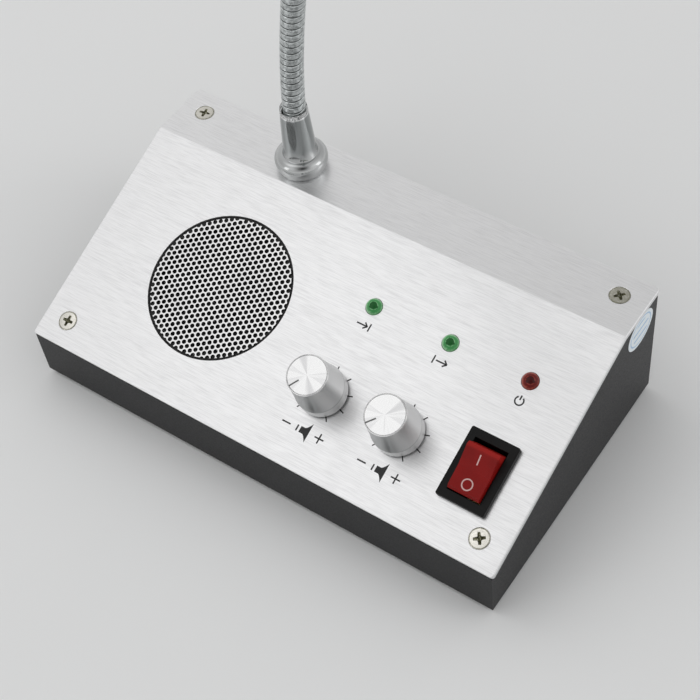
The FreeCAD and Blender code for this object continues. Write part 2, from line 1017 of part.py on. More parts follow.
def switch_frame():
    bezel = box(-bezel_width / 2, bezel_width / 2, -bezel_length / 2, bezel_length / 2, 0, bezel_thick)
    upright = [e for e in bezel.Edges if e.BoundBox.ZLength > bezel_thick / 2]
    bezel = bezel.makeFillet(bezel_corner, upright)
    rim = [e for e in bezel.Edges if e.BoundBox.ZMin > bezel_thick - tiny]
    bezel = bezel.makeFillet(bezel_edge, rim)
    half_x = frame_width / 2
    half_y = frame_length / 2
    block = box(-half_x, half_x, -half_y, half_y, -frame_depth, 0)
    lug_top = -panel_thick - seat_gap
    root = half_y - frame_lug_root
    lugs = []
    for side in (-1, 1):
        wedge = prism(
            [(root, lug_top), (half_y + frame_lug, lug_top), (root, lug_top - frame_lug_height)],
            -half_x / 2,
            half_x / 2,
        )
        if side < 0:
            wedge = wedge.mirror(Vector(0, 0, 0), Vector(0, 1, 0))
        lugs.append(wedge)
    frame = fuse(bezel, block, *lugs)
    well_x = rocker_hole_width / 2
    well_y = rocker_hole_length / 2
    frame = frame.cut(box(-well_x, well_x, -well_y, well_y, frame_floor - frame_depth, bezel_thick + past))
    reach = well_x + pin_seat
    seat = Part.makeCylinder(pin_radius + running_gap, 2 * reach, Vector(-reach, 0, 0), Vector(1, 0, 0))
    frame = frame.cut(seat)
    for y in (0.0, -(pad_inner + pad_outer) / 2):
        frame = frame.cut(terminal_tab(y, -frame_depth - past, frame_floor - frame_depth + past, seat_gap))
    return at_switch(frame)


def terminal_tab(y, low, high, grow=0.0):
    half_x = terminal_width / 2 + grow
    half_y = terminal_thick / 2 + grow
    return box(-half_x, half_x, y - half_y, y + half_y, low, high)


def rocker_block():
    # two facets that meet in a shallow fold over the pivot, raised well above the frame
    reach = rocker_reach()
    half = rocker_half_width()
    low = -rocker_depth
    top_end = rocker_fold + reach * math.tan(math.radians(rocker_facet))
    side = [(-reach, low), (-reach, top_end), (0, rocker_fold), (reach, top_end), (reach, low)]
    block = prism(side, -half, half)
    ends = []
    for edge in block.Edges:
        b = edge.BoundBox
        if b.XLength > half and b.ZMin > rocker_fold + tiny:
            ends.append(edge)
    return block.makeChamfer(rocker_chamfer, ends)


def switch_rocker():
    reach = rocker_reach()
    half = rocker_half_width()
    inner_x = half - rocker_wall
    inner_y = reach - rocker_end_wall
    roof = plunger_top()
    boss = cylinder(plunger_radius + rocker_wall, -rocker_depth, roof)
    hollow = box(-inner_x, inner_x, -inner_y, inner_y, -rocker_depth - past, roof).cut(boss)
    pin = pin_radius
    reach_x = rocker_hole_width / 2 + pin_seat - pin_end_gap
    pins = []
    for side in (-1, 1):
        start = side * (half - rocker_skin)
        pins.append(Part.makeCylinder(pin, reach_x - abs(start), Vector(start, 0, 0), Vector(side, 0, 0)))
    rocker = fuse(cut(rocker_block(), hollow), *pins)
    rocker = rocker.cut(cylinder(plunger_radius + running_gap, -rocker_depth - past, roof))
    rocker.rotate(Vector(0, 0, 0), Vector(1, 0, 0), rocker_tilt)
    return at_switch(rocker)


def plunger_top():
    return rocker_fold - plunger_roof


def switch_plunger():
    r = plunger_radius
    tip = -plunger_length
    mid = r * math.sin(math.radians(45))
    stem = turned([(0, plunger_top()), (r, plunger_top()), (r, tip + r), (0, tip, mid, tip + r - mid)])
    stem.rotate(Vector(0, 0, 0), Vector(1, 0, 0), rocker_tilt)
    return at_switch(stem)


def switch_contact():
    # brass see-saw: a strip over a round knuckle
    half_x = contact_half_width
    half_y = contact_half_length
    low = contact_lift - contact_axis_drop
    across = Vector(1, 0, 0)
    strip = box(-half_x, half_x, -half_y, half_y, low, low + contact_thick)
    knuckle = Part.makeCylinder(contact_knuckle, 2 * half_x, Vector(-half_x, 0, -contact_axis_drop), across)
    lever = fuse(strip, knuckle)
    lever.rotate(Vector(0, 0, -contact_axis_drop), across, -contact_tilt)
    return at_switch(lever)


def switch_terminals():
    floor = frame_floor - frame_depth
    half_x = contact_half_width
    post_top = -contact_axis_drop - contact_knuckle / 2
    post = box(-half_x, half_x, -post_half, post_half, floor, post_top)
    groove = Part.makeCylinder(
        contact_knuckle + running_gap,
        2 * (half_x + past),
        Vector(-half_x - past, 0, -contact_axis_drop),
        Vector(1, 0, 0),
    )
    centre = fuse(post, terminal_tab(0.0, -terminal_drop, floor)).cut(groove)
    pad_top = -contact_axis_drop - contact_half_length * math.sin(math.radians(contact_tilt)) - pad_gap
    pad = box(-half_x, half_x, -pad_outer, -pad_inner, floor, pad_top)
    side = fuse(pad, terminal_tab(-(pad_inner + pad_outer) / 2, -terminal_drop, floor))
    return [at_switch(centre), at_switch(side)]


# ---- neck


def neck_bell():
    r = collar_radius
    foot = collar_foot_radius
    waist = bell_waist_radius
    belly = collar_belly
    ring = collar_roll
    shoulder_r = r - ring
    shoulder_z = belly + ring
    half = ring * math.sin(math.radians(45))
    inner = tube_radius + bell_inner_gap
    step = stud_neck_up + bell_step_gap
    edge = bell_mouth_edge
    bell = turned([
        (stud_neck_radius + thread_gap, 0),
        (foot, 0),
        (r, belly, r - collar_swell, belly / 2),
        (shoulder_r, shoulder_z, shoulder_r + half, belly + half),
        (waist, bell_waist_height, waist + bell_sweep, shoulder_z + bell_sweep_up),
        (bell_top_radius, bell_height - edge),
        (bell_top_radius - edge / 2, bell_height),
        (inner, bell_height),
        (inner, step),
        (stud_neck_radius + thread_gap, step),
    ])
    return on_flat(bell, neck_x, neck_back)


def neck_stud():
    seat = stud_neck_up - tube_seat_depth
    stud = cylinder(stud_neck_radius, -stud_neck_down, stud_neck_up)
    stud = stud.cut(cylinder(stud_neck_bore, -stud_neck_down, seat))
    stud = stud.cut(cylinder(tube_radius + seat_gap, seat, stud_neck_up))
    return on_flat(stud, neck_x, neck_back)


def neck_washer():
    top = -panel_thick
    low = top - neck_washer_thick
    ring = cylinder(neck_washer_radius, low, top).cut(cylinder(stud_neck_radius + hole_gap, low, top))
    return on_flat(ring, neck_x, neck_back)


def neck_nut():
    top = -panel_thick - neck_washer_thick
    nut = hexagon(neck_nut_flats, top - neck_nut_thick, top, stud_neck_radius + thread_gap)
    return on_flat(nut, neck_x, neck_back)


def wound_side(low, high, grooves):
    # outer side of a wound tube from low to high, with a groove where two turns meet
    points = [(tube_radius, low)]
    for z in grooves:
        points.append((tube_radius, z - groove_half))
        points.append((tube_radius - groove_depth, z))
        points.append((tube_radius, z + groove_half))
    points.append((tube_radius, high))
    return points


def dome(centre):
    # the rounded upper end, from the rim over to the bore
    mid = math.radians(45)
    over_bore = math.sqrt(ball_radius**2 - tube_bore**2)
    return (tube_bore, centre + over_bore, ball_radius * math.sin(mid), centre + ball_radius * math.cos(mid))


def neck_base():
    # the foot of the tube; it stands in the stud and ends in the first rounded end
    low = stud_neck_up - tube_seat_depth
    rim = bell_height + tube_rise
    centre = rim - ball_drop
    side = wound_side(low, rim, [rim - turn_pitch])
    root = turned(side + [dome(centre), (tube_bore, low)])
    return on_flat(root, neck_x, neck_back)


def neck_start():
    return Vector(neck_x, neck_y, flat_top + bell_height + tube_rise - ball_drop)


def neck_frames():
    # the pivot point and the direction of each length at rest
    frames = []
    point = neck_start()
    for right, front in zip(tilt_right, tilt_front):
        rotation = Rotation(Vector(1, 0, 0), front) * Rotation(Vector(0, 1, 0), right)
        frames.append(Placement(point, rotation))
        point = point + rotation.multVec(Vector(0, 0, length_pitch))
    return frames


def neck_length(index):
    # a cup over the rounded end below, wound side, and a rounded end above
    low_bore = math.sqrt(cup_radius**2 - tube_bore**2)
    mid = math.radians(45)
    grooves = [length_pitch + ball_drop - turn_pitch * (step + 1) for step in range(turns_per_length - 1)]
    rim = length_pitch + ball_drop
    side = wound_side(cup_rise, rim, sorted(grooves))
    if index < length_count - 1:
        top = [dome(length_pitch), (tube_bore, low_bore)]
    else:
        top = [(tube_bore, rim), (tube_bore, low_bore)]
    side[0] = (tube_radius, cup_rise, cup_radius * math.sin(mid), cup_radius * math.cos(mid))
    return moved(turned(side + top), neck_frames()[index])


def at_head(shape):
    return moved(shape, neck_frames()[length_count - 1])


# ---- microphone head, heights along the last length

head_low = length_pitch + ball_drop
taper_top = head_low + adapter_taper
barrel_top = taper_top + barrel_length
cap_top = barrel_top + cap_length


def mic_adapter():
    # sleeve over the tube's end, flared to the barrel, with a spigot inside the barrel
    bore = tube_radius + seat_gap
    spigot = head_radius - head_wall - seat_gap
    return at_head(turned([
        (bore, head_low - adapter_overlap),
        (adapter_radius - adapter_edge, head_low - adapter_overlap),
        (adapter_radius, head_low - adapter_overlap + adapter_edge),
        (adapter_radius, head_low),
        (head_radius, taper_top, adapter_radius + adapter_flare, head_low + adapter_flare_up),
        (spigot, taper_top),
        (spigot, taper_top + spigot_length),
        (tube_bore, taper_top + spigot_length),
        (tube_bore, head_low),
        (bore, head_low),
    ]))


def mic_barrel():
    inner = head_radius - head_wall
    return at_head(turned([
        (inner, taper_top),
        (head_radius, taper_top),
        (head_radius, barrel_top),
        (inner, barrel_top),
    ]))


def mic_cap():
    # slotted cap with a rounded nose; its skirt seats inside the barrel
    inner = head_radius - head_wall
    skirt = inner - seat_gap
    nose = cap_nose
    skirt_low = barrel_top - cap_skirt_length
    round_mid = nose * math.sin(math.radians(45))
    r = head_radius
    cap = turned([
        (skirt - cap_skirt_wall, skirt_low),
        (skirt, skirt_low),
        (skirt, barrel_top),
        (r, barrel_top),
        (r, cap_top - nose),
        (r - nose, cap_top, r - nose + round_mid, cap_top - nose + round_mid),
        (0, cap_top),
        (0, cap_top - head_wall),
        (r - nose, cap_top - head_wall),
        (skirt - cap_skirt_wall, cap_top - nose - cap_inner_step),
    ])
    half = cap_slot_width / 2
    low = barrel_top + cap_slot_start
    slot = box(cap_slot_inner, r + past, -half, half, low, low + cap_slot_length)
    for step in range(cap_slots):
        opening = slot.copy()
        opening.rotate(Vector(0, 0, 0), Vector(0, 0, 1), 360.0 * step / cap_slots)
        cap = cap.cut(opening)
    return at_head(cap)


def capsule_low():
    return barrel_top - capsule_drop - capsule_length


def mic_capsule():
    return at_head(cylinder(capsule_radius, capsule_low(), capsule_low() + capsule_length))


def capsule_ring():
    outer = head_radius - head_wall - seat_gap
    low = capsule_low() - capsule_ring_foot
    high = barrel_top - cap_skirt_length - hole_gap
    ring = cylinder(outer, low, high).cut(cylinder(capsule_radius + seat_gap, capsule_low(), high))
    return at_head(ring.cut(cylinder(capsule_radius - capsule_ring_lip, low, high)))


# ---- main board


def main_board():
    low = board_top - board_thick
    board = box(main_board_left, main_board_right, main_board_front, main_board_back, low, board_top)
    for x, y in board_corners():
        board = board.cut(cylinder(board_screw_radius + hole_gap, low - past, board_top + past, x, y))
    return board


def board_screws():
    screws = []
    half = board_screw_slot / 2
    top = board_top + board_screw_head_thick
    for x, y in board_corners():
        low = board_top - board_thick - board_screw_length + weld
        shank = cylinder(board_screw_radius, low, board_top + weld, x, y)
        head = cylinder(board_screw_head, board_top, top, x, y)
        rim = [e for e in head.Edges if e.BoundBox.ZMin > top - tiny]
        head = head.makeFillet(board_screw_head_thick / 2, rim)
        reach = board_screw_head
        slot = box(x - reach, x + reach, y - half, y + half, top - board_screw_slot_depth, top + past)
        screws.append(fuse(shank, head).cut(slot))
    return screws


def sink_left():
    return (main_board_left + main_board_right - heat_sink_width) / 2


def sink_front():
    return main_board_back - heat_sink_depth - heat_sink_edge


def heat_sink():
    left = sink_left()
    front = sink_front()
    top = board_top + heat_sink_height
    sink = box(left, left + heat_sink_width, front, front + heat_sink_base, board_top, top)
    step = (heat_sink_width - fin_thick) / (fin_count - 1)
    fins = []
    for index in range(fin_count):
        x = left + index * step
        fin = box(x, x + fin_thick, front + heat_sink_base - weld, front + heat_sink_depth, board_top, top)
        fins.append(fin)
    return fuse(sink, *fins)


def amplifier_chip():
    # power chip with its row of legs, flat against the heat sink
    middle = (main_board_left + main_board_right) / 2
    back = sink_front()
    low = board_top + chip_lift
    side = chip_width / 2
    body = box(middle - side, middle + side, back - chip_thick, back, low, low + chip_height)
    legs = []
    for step in range(-chip_leg_pairs, chip_leg_pairs + 1):
        x = middle + step * leg_pitch
        y = back - chip_thick / 2
        half = chip_leg / 2
        legs.append(box(x - half, x + half, y - half, y + half, board_top, low + half))
    return fuse(body, *legs)


def capacitor(x, y, radius, height):
    can = cylinder(radius, board_top, board_top + height, x, y)
    rims = [e for e in can.Edges if e.BoundBox.ZLength < tiny]
    return can.makeFillet(capacitor_edge, rims)


def capacitors():
    # a large and a small pair in one row
    y = sink_front() - chip_thick - capacitor_gap - capacitor_radius
    large = main_board_left + capacitor_first
    small = main_board_right - capacitor_first
    cans = []
    for step in range(2):
        gap = step * capacitor_step
        cans.append(capacitor(large + gap, y, capacitor_radius, capacitor_height))
        cans.append(capacitor(small - gap, y, small_capacitor_radius, small_capacitor_height))
    return cans


def header_places():
    y = main_board_front + header_front
    return [(main_board_left + header_first + header_step * step, y) for step in range(header_count)]


def wire_header(x, y):
    half_x = header_width / 2
    half_y = header_depth / 2
    top = board_top + header_height
    shell = box(x - half_x, x + half_x, y - half_y, y + half_y, board_top, top)
    inner_x = half_x - header_wall
    inner_y = half_y - header_wall
    low = board_top + header_floor
    shell = shell.cut(box(x - inner_x, x + inner_x, y - inner_y, y + inner_y, low, top + past))
    half = header_pin / 2
    pins = []
    for side in (-1, 1):
        at = x + side * leg_pitch / 2
        pins.append(box(at - half, at + half, y - half, y + half, board_top, top - header_wall))
    return fuse(shell, *pins)


def wire_headers():
    return [wire_header(x, y) for x, y in header_places()]


# ---- sockets in the rear wall, heights counted outwards from the wall's outer face


def at_rear(shape, x):
    placed = lie_down(shape)
    placed.translate(Vector(x, half_depth, socket_height))
    return placed


def power_inlet():
    body = cylinder(inlet_radius, -inlet_length, inlet_face_thick)
    face = cylinder(inlet_face_radius, 0, inlet_face_thick)
    block = cylinder(inlet_face_radius, -inlet_length, -wall - seat_gap)
    bore = cylinder(inlet_bore, inlet_floor - inlet_length, inlet_face_thick + past)
    shell = fuse(body, face, block).cut(bore)
    pin = cylinder(inlet_pin, inlet_pin_root - inlet_length, -inlet_pin_set_in)
    return at_rear(shell.fuse(pin).removeSplitter(), inlet_x)


def line_sockets():
    barrel = cylinder(socket_radius, -socket_length, socket_nut_thick)
    half = socket_block
    block = box(-half, half, -half, half, -socket_length, -wall)
    bore = cylinder(socket_bore, socket_floor - socket_length, socket_nut_thick + past)
    socket = fuse(barrel, block).cut(bore)
    return [at_rear(socket, x) for x in socket_places()]


def socket_nuts():
    nut = cylinder(socket_nut_radius, 0, socket_nut_thick)
    nut = nut.cut(cylinder(socket_radius + thread_gap, 0, socket_nut_thick))
    return [at_rear(nut, x) for x in socket_places()]


# ---- inside wires


def rounded_path(points, bend):
    # straight runs joined by arcs
    edges = []
    last = points[0]
    for before, corner, after in zip(points, points[1:], points[2:]):
        back = (before - corner).normalize()
        ahead = (after - corner).normalize()
        half = back.getAngle(ahead) / 2
        reach = bend / math.tan(half)
        inward = (back + ahead).normalize()
        start = corner + back * reach
        end = corner + ahead * reach
        middle = corner + inward * (bend / math.sin(half) - bend)
        edges.append(Part.LineSegment(last, start).toShape())
        edges.append(Part.Arc(start, middle, end).toShape())
        last = end
    edges.append(Part.LineSegment(last, points[-1]).toShape())
    return Part.Wire(edges)


def insulated_wire(points):
    path = rounded_path(points, wire_bend)
    ring = Part.Wire(Part.makeCircle(wire_radius, points[0], points[1] - points[0]))
    return positive(path.makePipeShell([ring], True, False))


def header_pin_top(index, side):
    x, y = header_places()[index]
    return Vector(x + side * leg_pitch / 2, y, board_top + header_height - header_wall)


def run_from_header(index, side, order, turn_x, end):
    # up from a header pin, level along X, then across to the end and along X onto it
    pin = header_pin_top(index, side)
    level = pin.z + wire_rise + order * wire_spacing
    return insulated_wire([
        pin,
        Vector(pin.x, pin.y, level),
        Vector(turn_x, pin.y, level),
        Vector(turn_x, end.y, end.z),
        end,
    ])


def speaker_wires():
    wires = []
    for order, side in enumerate((-1, 1)):
        up = speaker_up + side * tag_strip_half / 2
        end = slope_point(speaker_x + tag_strip_reach(), up, tag_strip_low() + tag_strip_half / 2)
        turn_x = end.x + speaker_wire_outside + order * wire_spacing
        wires.append(run_from_header(0, side, order, turn_x, end))
    return wires


def switch_wires():
    wires = []
    x = column_switch - terminal_width / 2
    side_up = switch_up - (pad_inner + pad_outer) / 2
    for order, up in enumerate((switch_up, side_up)):
        end = slope_point(x, up, terminal_solder - terminal_drop)
        side = 1 - 2 * order
        turn_x = main_board_right + switch_wire_outside - order * wire_spacing
        wires.append(run_from_header(header_count - 1, side, order, turn_x, end))
    return wires


# ---- the whole unit


def one_or_many(shapes):
    return Part.Compound(shapes) if isinstance(shapes, list) else shapes


def parts():
    pieces = {
        "housing_tub": housing_tub(),
        "rubber_feet": rubber_feet(),
        "top_panel": top_panel(),
        "panel_screws": panel_screws(),
        "speaker_grille": speaker_grille(),
        "grille_gasket": grille_gasket(),
        "speaker_basket": speaker_basket(),
        "speaker_cone": speaker_cone(),
        "speaker_dust_cap": speaker_dust_cap(),
        "voice_coil": voice_coil(),
        "speaker_front_plate": speaker_front_plate(),
        "speaker_magnet": speaker_magnet(),
        "speaker_yoke": speaker_yoke(),
        "speaker_clamps": speaker_clamps(),
        "clamp_nuts": clamp_nuts(),
        "knob_in": knob(column_in, knob_in_pointer),
        "knob_out": knob(column_out, knob_out_pointer),
        "pot_shaft_in": pot_shaft(column_in),
        "pot_shaft_out": pot_shaft(column_out),
        "pot_cans": pot_cans(),
        "pot_nuts": pot_nuts(),
        "led_in": lamp(column_in),
        "led_out": lamp(column_out),
        "led_power": lamp(column_switch),
        "led_legs": lamp_legs(),
        "control_board": control_board(),
        "switch_frame": switch_frame(),
        "switch_rocker": switch_rocker(),
        "switch_plunger": switch_plunger(),
        "switch_contact": switch_contact(),
        "switch_terminals": switch_terminals(),
        "neck_bell": neck_bell(),
        "neck_stud": neck_stud(),
        "neck_washer": neck_washer(),
        "neck_nut": neck_nut(),
        "neck_base": neck_base(),
        "mic_adapter": mic_adapter(),
        "mic_barrel": mic_barrel(),
        "mic_cap": mic_cap(),
        "mic_capsule": mic_capsule(),
        "capsule_ring": capsule_ring(),
        "main_board": main_board(),
        "board_screws": board_screws(),
        "heat_sink": heat_sink(),
        "amplifier_chip": amplifier_chip(),
        "capacitors": capacitors(),
        "wire_headers": wire_headers(),
        "power_inlet": power_inlet(),
        "line_sockets": line_sockets(),
        "socket_nuts": socket_nuts(),
        "speaker_wires": speaker_wires(),
        "switch_wires": switch_wires(),
    }
    for index in range(length_count):
        pieces[f"neck_length_{index + 1}"] = neck_length(index)
    return pieces


def write_parts():
    os.makedirs("parts", exist_ok=True)
    for name, shapes in parts().items():
        shape = one_or_many(shapes)
        shape.exportStep(f"parts/{name}.step")
        print(f"{name}: {len(shape.Solids)} solid(s), {shape.Volume:.1f} mm3, valid {shape.isValid()}")


write_parts()
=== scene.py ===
import json
import bmesh
import bpy
import numpy as np
from mathutils import Euler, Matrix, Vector


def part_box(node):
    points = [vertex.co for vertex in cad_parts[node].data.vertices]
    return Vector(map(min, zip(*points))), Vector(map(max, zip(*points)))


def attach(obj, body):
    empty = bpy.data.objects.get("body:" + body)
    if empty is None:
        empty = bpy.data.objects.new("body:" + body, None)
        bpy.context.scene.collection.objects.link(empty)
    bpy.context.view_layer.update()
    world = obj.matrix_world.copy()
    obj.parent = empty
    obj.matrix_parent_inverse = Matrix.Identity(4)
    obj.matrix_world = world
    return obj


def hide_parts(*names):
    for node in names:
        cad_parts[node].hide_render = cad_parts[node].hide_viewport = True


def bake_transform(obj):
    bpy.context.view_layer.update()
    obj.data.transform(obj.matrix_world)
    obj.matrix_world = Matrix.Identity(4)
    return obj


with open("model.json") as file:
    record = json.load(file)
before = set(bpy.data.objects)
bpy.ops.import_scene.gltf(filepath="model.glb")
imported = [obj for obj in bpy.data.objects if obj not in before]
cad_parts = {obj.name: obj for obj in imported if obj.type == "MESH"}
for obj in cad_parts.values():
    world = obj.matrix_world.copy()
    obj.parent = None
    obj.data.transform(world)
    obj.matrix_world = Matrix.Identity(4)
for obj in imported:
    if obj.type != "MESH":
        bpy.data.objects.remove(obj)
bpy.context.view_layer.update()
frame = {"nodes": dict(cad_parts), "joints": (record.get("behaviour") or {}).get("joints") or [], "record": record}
print("frame loaded")

# the unit's own directions and fixed places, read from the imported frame, in metres;
# sizes in the dictionaries further down are in mm
mm = 0.001
joints = {joint["name"]: joint for joint in frame["joints"]}
hinges = {joint["child"]: np.array(joint["pos_m"]) for joint in frame["joints"]}
acrossPanel = np.array([1.0, 0.0, 0.0])
outOfPanel = -np.array(joints["knob_in_turn"]["axis"])
upPanel = np.cross(outOfPanel, acrossPanel)
rockerPivot = hinges["rocker_body"]                       # lies on the sloping panel's face
panelBasis = np.stack([acrossPanel, upPanel, outOfPanel])
uprightBasis = np.eye(3)
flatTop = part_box("top_panel")[1].z


def onPanel(point):
    # the spot on the sloping panel's face straight under a point
    return point - outOfPanel * np.dot(point - rockerPivot, outOfPanel)


def panelSpot(across, up):
    # a place on the slope: across from the unit's middle, up from the switch's centre, in mm
    return np.array([0, *rockerPivot[1:]]) + acrossPanel * across * mm + upPanel * up * mm


def meshPiece(name, points, faces, smooth=True, shade=None):
    # points and quads become a closed mesh object whose faces point outwards
    # shade, where it is given, says how dark each point is
    mesh = bpy.data.meshes.new(name)
    mesh.from_pydata(points.reshape(-1, 3).tolist(), [], faces.tolist())
    if shade is not None:
        layer = mesh.attributes.new("shade", "FLOAT", "POINT")
        layer.data.foreach_set("value", np.ravel(shade).astype(np.float32))
    work = bmesh.new()
    work.from_mesh(mesh)
    bmesh.ops.remove_doubles(work, verts=work.verts, dist=1e-8)
    bmesh.ops.dissolve_degenerate(work, edges=work.edges, dist=1e-9)
    bmesh.ops.recalc_face_normals(work, faces=work.faces)
    work.to_mesh(mesh)
    work.free()
    mesh.polygons.foreach_set("use_smooth", [smooth] * len(mesh.polygons))
    piece = bpy.data.objects.new(name, mesh)
    bpy.context.scene.collection.objects.link(piece)
    return piece


def gridFaces(rows, columns, closeRows, closeColumns):
    # quads between neighbouring points of a grid, wrapping round where it closes
    row = np.arange(rows if closeRows else rows - 1)[:, None]
    column = np.arange(columns if closeColumns else columns - 1)[None, :]
    nextRow, nextColumn = (row + 1) % rows, (column + 1) % columns
    corners = [row * columns + column, nextRow * columns + column,
               nextRow * columns + nextColumn, row * columns + nextColumn]
    return np.stack(corners, -1).reshape(-1, 4)


def joined(grids):
    # several (points, faces) pairs as one
    points, faces, count = [], [], 0
    for some, quads in grids:
        some = some.reshape(-1, 3)
        points.append(some)
        faces.append(quads + count)
        count += len(some)
    return np.concatenate(points), np.concatenate(faces)


def softened(corners, steps=7, guard=0.25):
    # a line through corners (x, y, softness): each corner gives way to a curve that starts
    # softness before it and ends softness after it, with a point on either side that keeps the flats flat
    corners = np.array(corners, float)
    line = []
    t = np.linspace(0, 1, steps)[:, None]
    for before, corner, after in zip(corners[:-2], corners[1:-1], corners[2:]):
        soft = corner[2]
        if soft == 0:
            line.append(corner[None, :2])
            continue
        back = before[:2] - corner[:2]
        ahead = after[:2] - corner[:2]
        start = corner[:2] + back / np.linalg.norm(back) * soft
        end = corner[:2] + ahead / np.linalg.norm(ahead) * soft
        bend = (1 - t) ** 2 * start + 2 * t * (1 - t) * corner[:2] + t ** 2 * end
        line.append(start[None] * (1 + guard) - corner[None, :2] * guard)
        line.append(bend)
        line.append(end[None] * (1 + guard) - corner[None, :2] * guard)
    return np.concatenate([corners[:1, :2], *line, corners[-1:, :2]])


def turnedGrid(profile, segments, closed=False):
    # radius and height of each profile point, carried round the axis: x = r cos a, y = r sin a
    angle = np.arange(segments) / segments * 2 * np.pi
    radius, height = profile[:, :1], profile[:, 1:]
    points = np.stack([radius * np.cos(angle), radius * np.sin(angle), height + 0 * angle], -1)
    return points, gridFaces(len(profile), segments, closed, True)


def placed(points, centre, basis=panelBasis):
    # local mm along the basis's three directions, to the frame's metres
    return np.asarray(centre) + points @ basis * mm


class Link:
    # one output of a node; sums of links and numbers add their Math nodes
    def __init__(self, finish, socket):
        self.finish, self.socket = finish, socket

    def maths(self, kind, first, second):
        return self.finish.node("ShaderNodeMath", {"operation": kind}, {0: first, 1: second})

    def __add__(self, other):
        return self.maths("ADD", self, other)

    def __radd__(self, other):
        return self.maths("ADD", other, self)

    def __sub__(self, other):
        return self.maths("SUBTRACT", self, other)

    def __rsub__(self, other):
        return self.maths("SUBTRACT", other, self)

    def __mul__(self, other):
        return self.maths("MULTIPLY", self, other)

    def __rmul__(self, other):
        return self.maths("MULTIPLY", other, self)

    def __truediv__(self, other):
        return self.maths("DIVIDE", self, other)

    def __rtruediv__(self, other):
        return self.maths("DIVIDE", other, self)

    def __pow__(self, other):
        return self.maths("POWER", self, other)

    def __rpow__(self, other):
        return self.maths("POWER", other, self)


class Finish:
    # a material, and the one method that adds nodes to it
    def __init__(self, name, tree=None):
        self.material = None
        if tree is None:
            self.material = bpy.data.materials.new(name)
            self.material.use_nodes = True
            tree = self.material.node_tree
        self.tree = tree
        tree.nodes.clear()

    def node(self, kind, settings=None, values=None, output=0):
        made = self.tree.nodes.new(kind)
        for key, value in (settings or {}).items():
            setattr(made, key, value)
        for key, value in (values or {}).items():
            if isinstance(value, Link):
                self.tree.links.new(value.socket, made.inputs[key])
            else:
                made.inputs[key].default_value = value
        return None if output is None else Link(self, made.outputs[output])

    def place(self, stretch=(1, 1, 1), centre=(0, 0, 0)):
        # Object coordinates from a centre in metres, then stretched
        spot = self.node("ShaderNodeTexCoord", output="Object")
        moved = self.node("ShaderNodeVectorMath", {"operation": "SUBTRACT"}, {0: spot, 1: tuple(centre)})
        return self.node("ShaderNodeVectorMath", {"operation": "MULTIPLY"}, {0: moved, 1: tuple(stretch)})

    def noise(self, where, scale, detail, roughness=0.5):
        values = {"Vector": where, "Scale": scale, "Detail": detail, "Roughness": roughness}
        return self.node("ShaderNodeTexNoise", {}, values)

    def wave(self, kind, value):
        # kind is SINE or COSINE
        return self.node("ShaderNodeMath", {"operation": kind}, {0: value})

    def step(self, value, low, high, outLow=0.0, outHigh=1.0):
        # smooth step between low and high
        settings = {"interpolation_type": "SMOOTHSTEP"}
        levels = {"Value": value, "From Min": low, "From Max": high, "To Min": outLow, "To Max": outHigh}
        return self.node("ShaderNodeMapRange", settings, levels)

    def shade(self):
        # how dark each point of a piece is, as its mesh says; 0 on the others
        return self.node("ShaderNodeAttribute", {"attribute_name": "shade"}, {}, "Fac")

    def mixed(self, factor, first, second):
        first = first if isinstance(first, Link) else (*first, 1.0)
        second = second if isinstance(second, Link) else (*second, 1.0)
        return self.node("ShaderNodeMix", {"data_type": "RGBA"}, {0: factor, 6: first, 7: second}, 2)

    def bump(self, height, distance, strength):
        values = {"Height": height, "Distance": distance, "Strength": strength}
        return self.node("ShaderNodeBump", {}, values)

    def along(self, where, direction):
        # how far a place lies along a direction
        values = {0: where, 1: tuple(direction)}
        return self.node("ShaderNodeVectorMath", {"operation": "DOT_PRODUCT"}, values, "Value")

    def shader(self, colour, roughness=0.5, metallic=0.0, normal=None, **others):
        values = {"Base Color": colour if isinstance(colour, Link) else (*colour, 1.0)}
        values.update({"Roughness": roughness, "Metallic": metallic})
        if normal is not None:
            values["Normal"] = normal
        values.update({key.replace("_", " "): value for key, value in others.items()})
        surface = self.node("ShaderNodeBsdfPrincipled", {}, values)
        self.node("ShaderNodeOutputMaterial", {}, {"Surface": surface}, None)
        return self.material


def wear(finish, colour, spread, scale):
    # a colour that drifts a little from place to place
    patch = finish.noise(finish.place(), scale, 3.0)
    light = [min(1.0, part * (1 + spread)) for part in colour]
    dark = [part * (1 - spread) for part in colour]
    return finish.mixed(finish.step(patch, 0.3, 0.7), dark, light)


brushed = {"colour": (0.88, 0.88, 0.885), "line": (0.77, 0.77, 0.775), "roughness": 0.34, "metallic": 0.95,
           "length": 6.0, "width": 0.12, "wider": 4, "fine": 0.8, "wide": 0.2}


def strokes(finish, length, width, detail):
    # noise that is long along X and narrow the other two ways
    spot = finish.place((1 / (length * mm), 1 / (width * mm), 1 / (width * mm)))
    return finish.noise(spot, 1.0, detail, 0.6)


def brushedMetal():
    # short fine strokes over longer soft ones
    finish = Finish("brushedAluminium")
    fine = strokes(finish, brushed["length"], brushed["width"], 3.0)
    wide = strokes(finish, brushed["wider"] * brushed["length"], brushed["wider"] * brushed["width"], 2.0)
    lines = fine * brushed["fine"] + wide * brushed["wide"]
    colour = finish.mixed(finish.step(lines, 0.36, 0.56), brushed["line"], brushed["colour"])
    rough = finish.step(lines, 0.35, 0.65, brushed["roughness"] + 0.05, brushed["roughness"] - 0.04)
    return finish.shader(colour, rough, brushed["metallic"], finish.bump(fine, 0.01 * mm, 0.2))


painted = {"colour": (0.014, 0.014, 0.015), "roughness": 0.45, "grain": 0.35, "shine": 0.27}


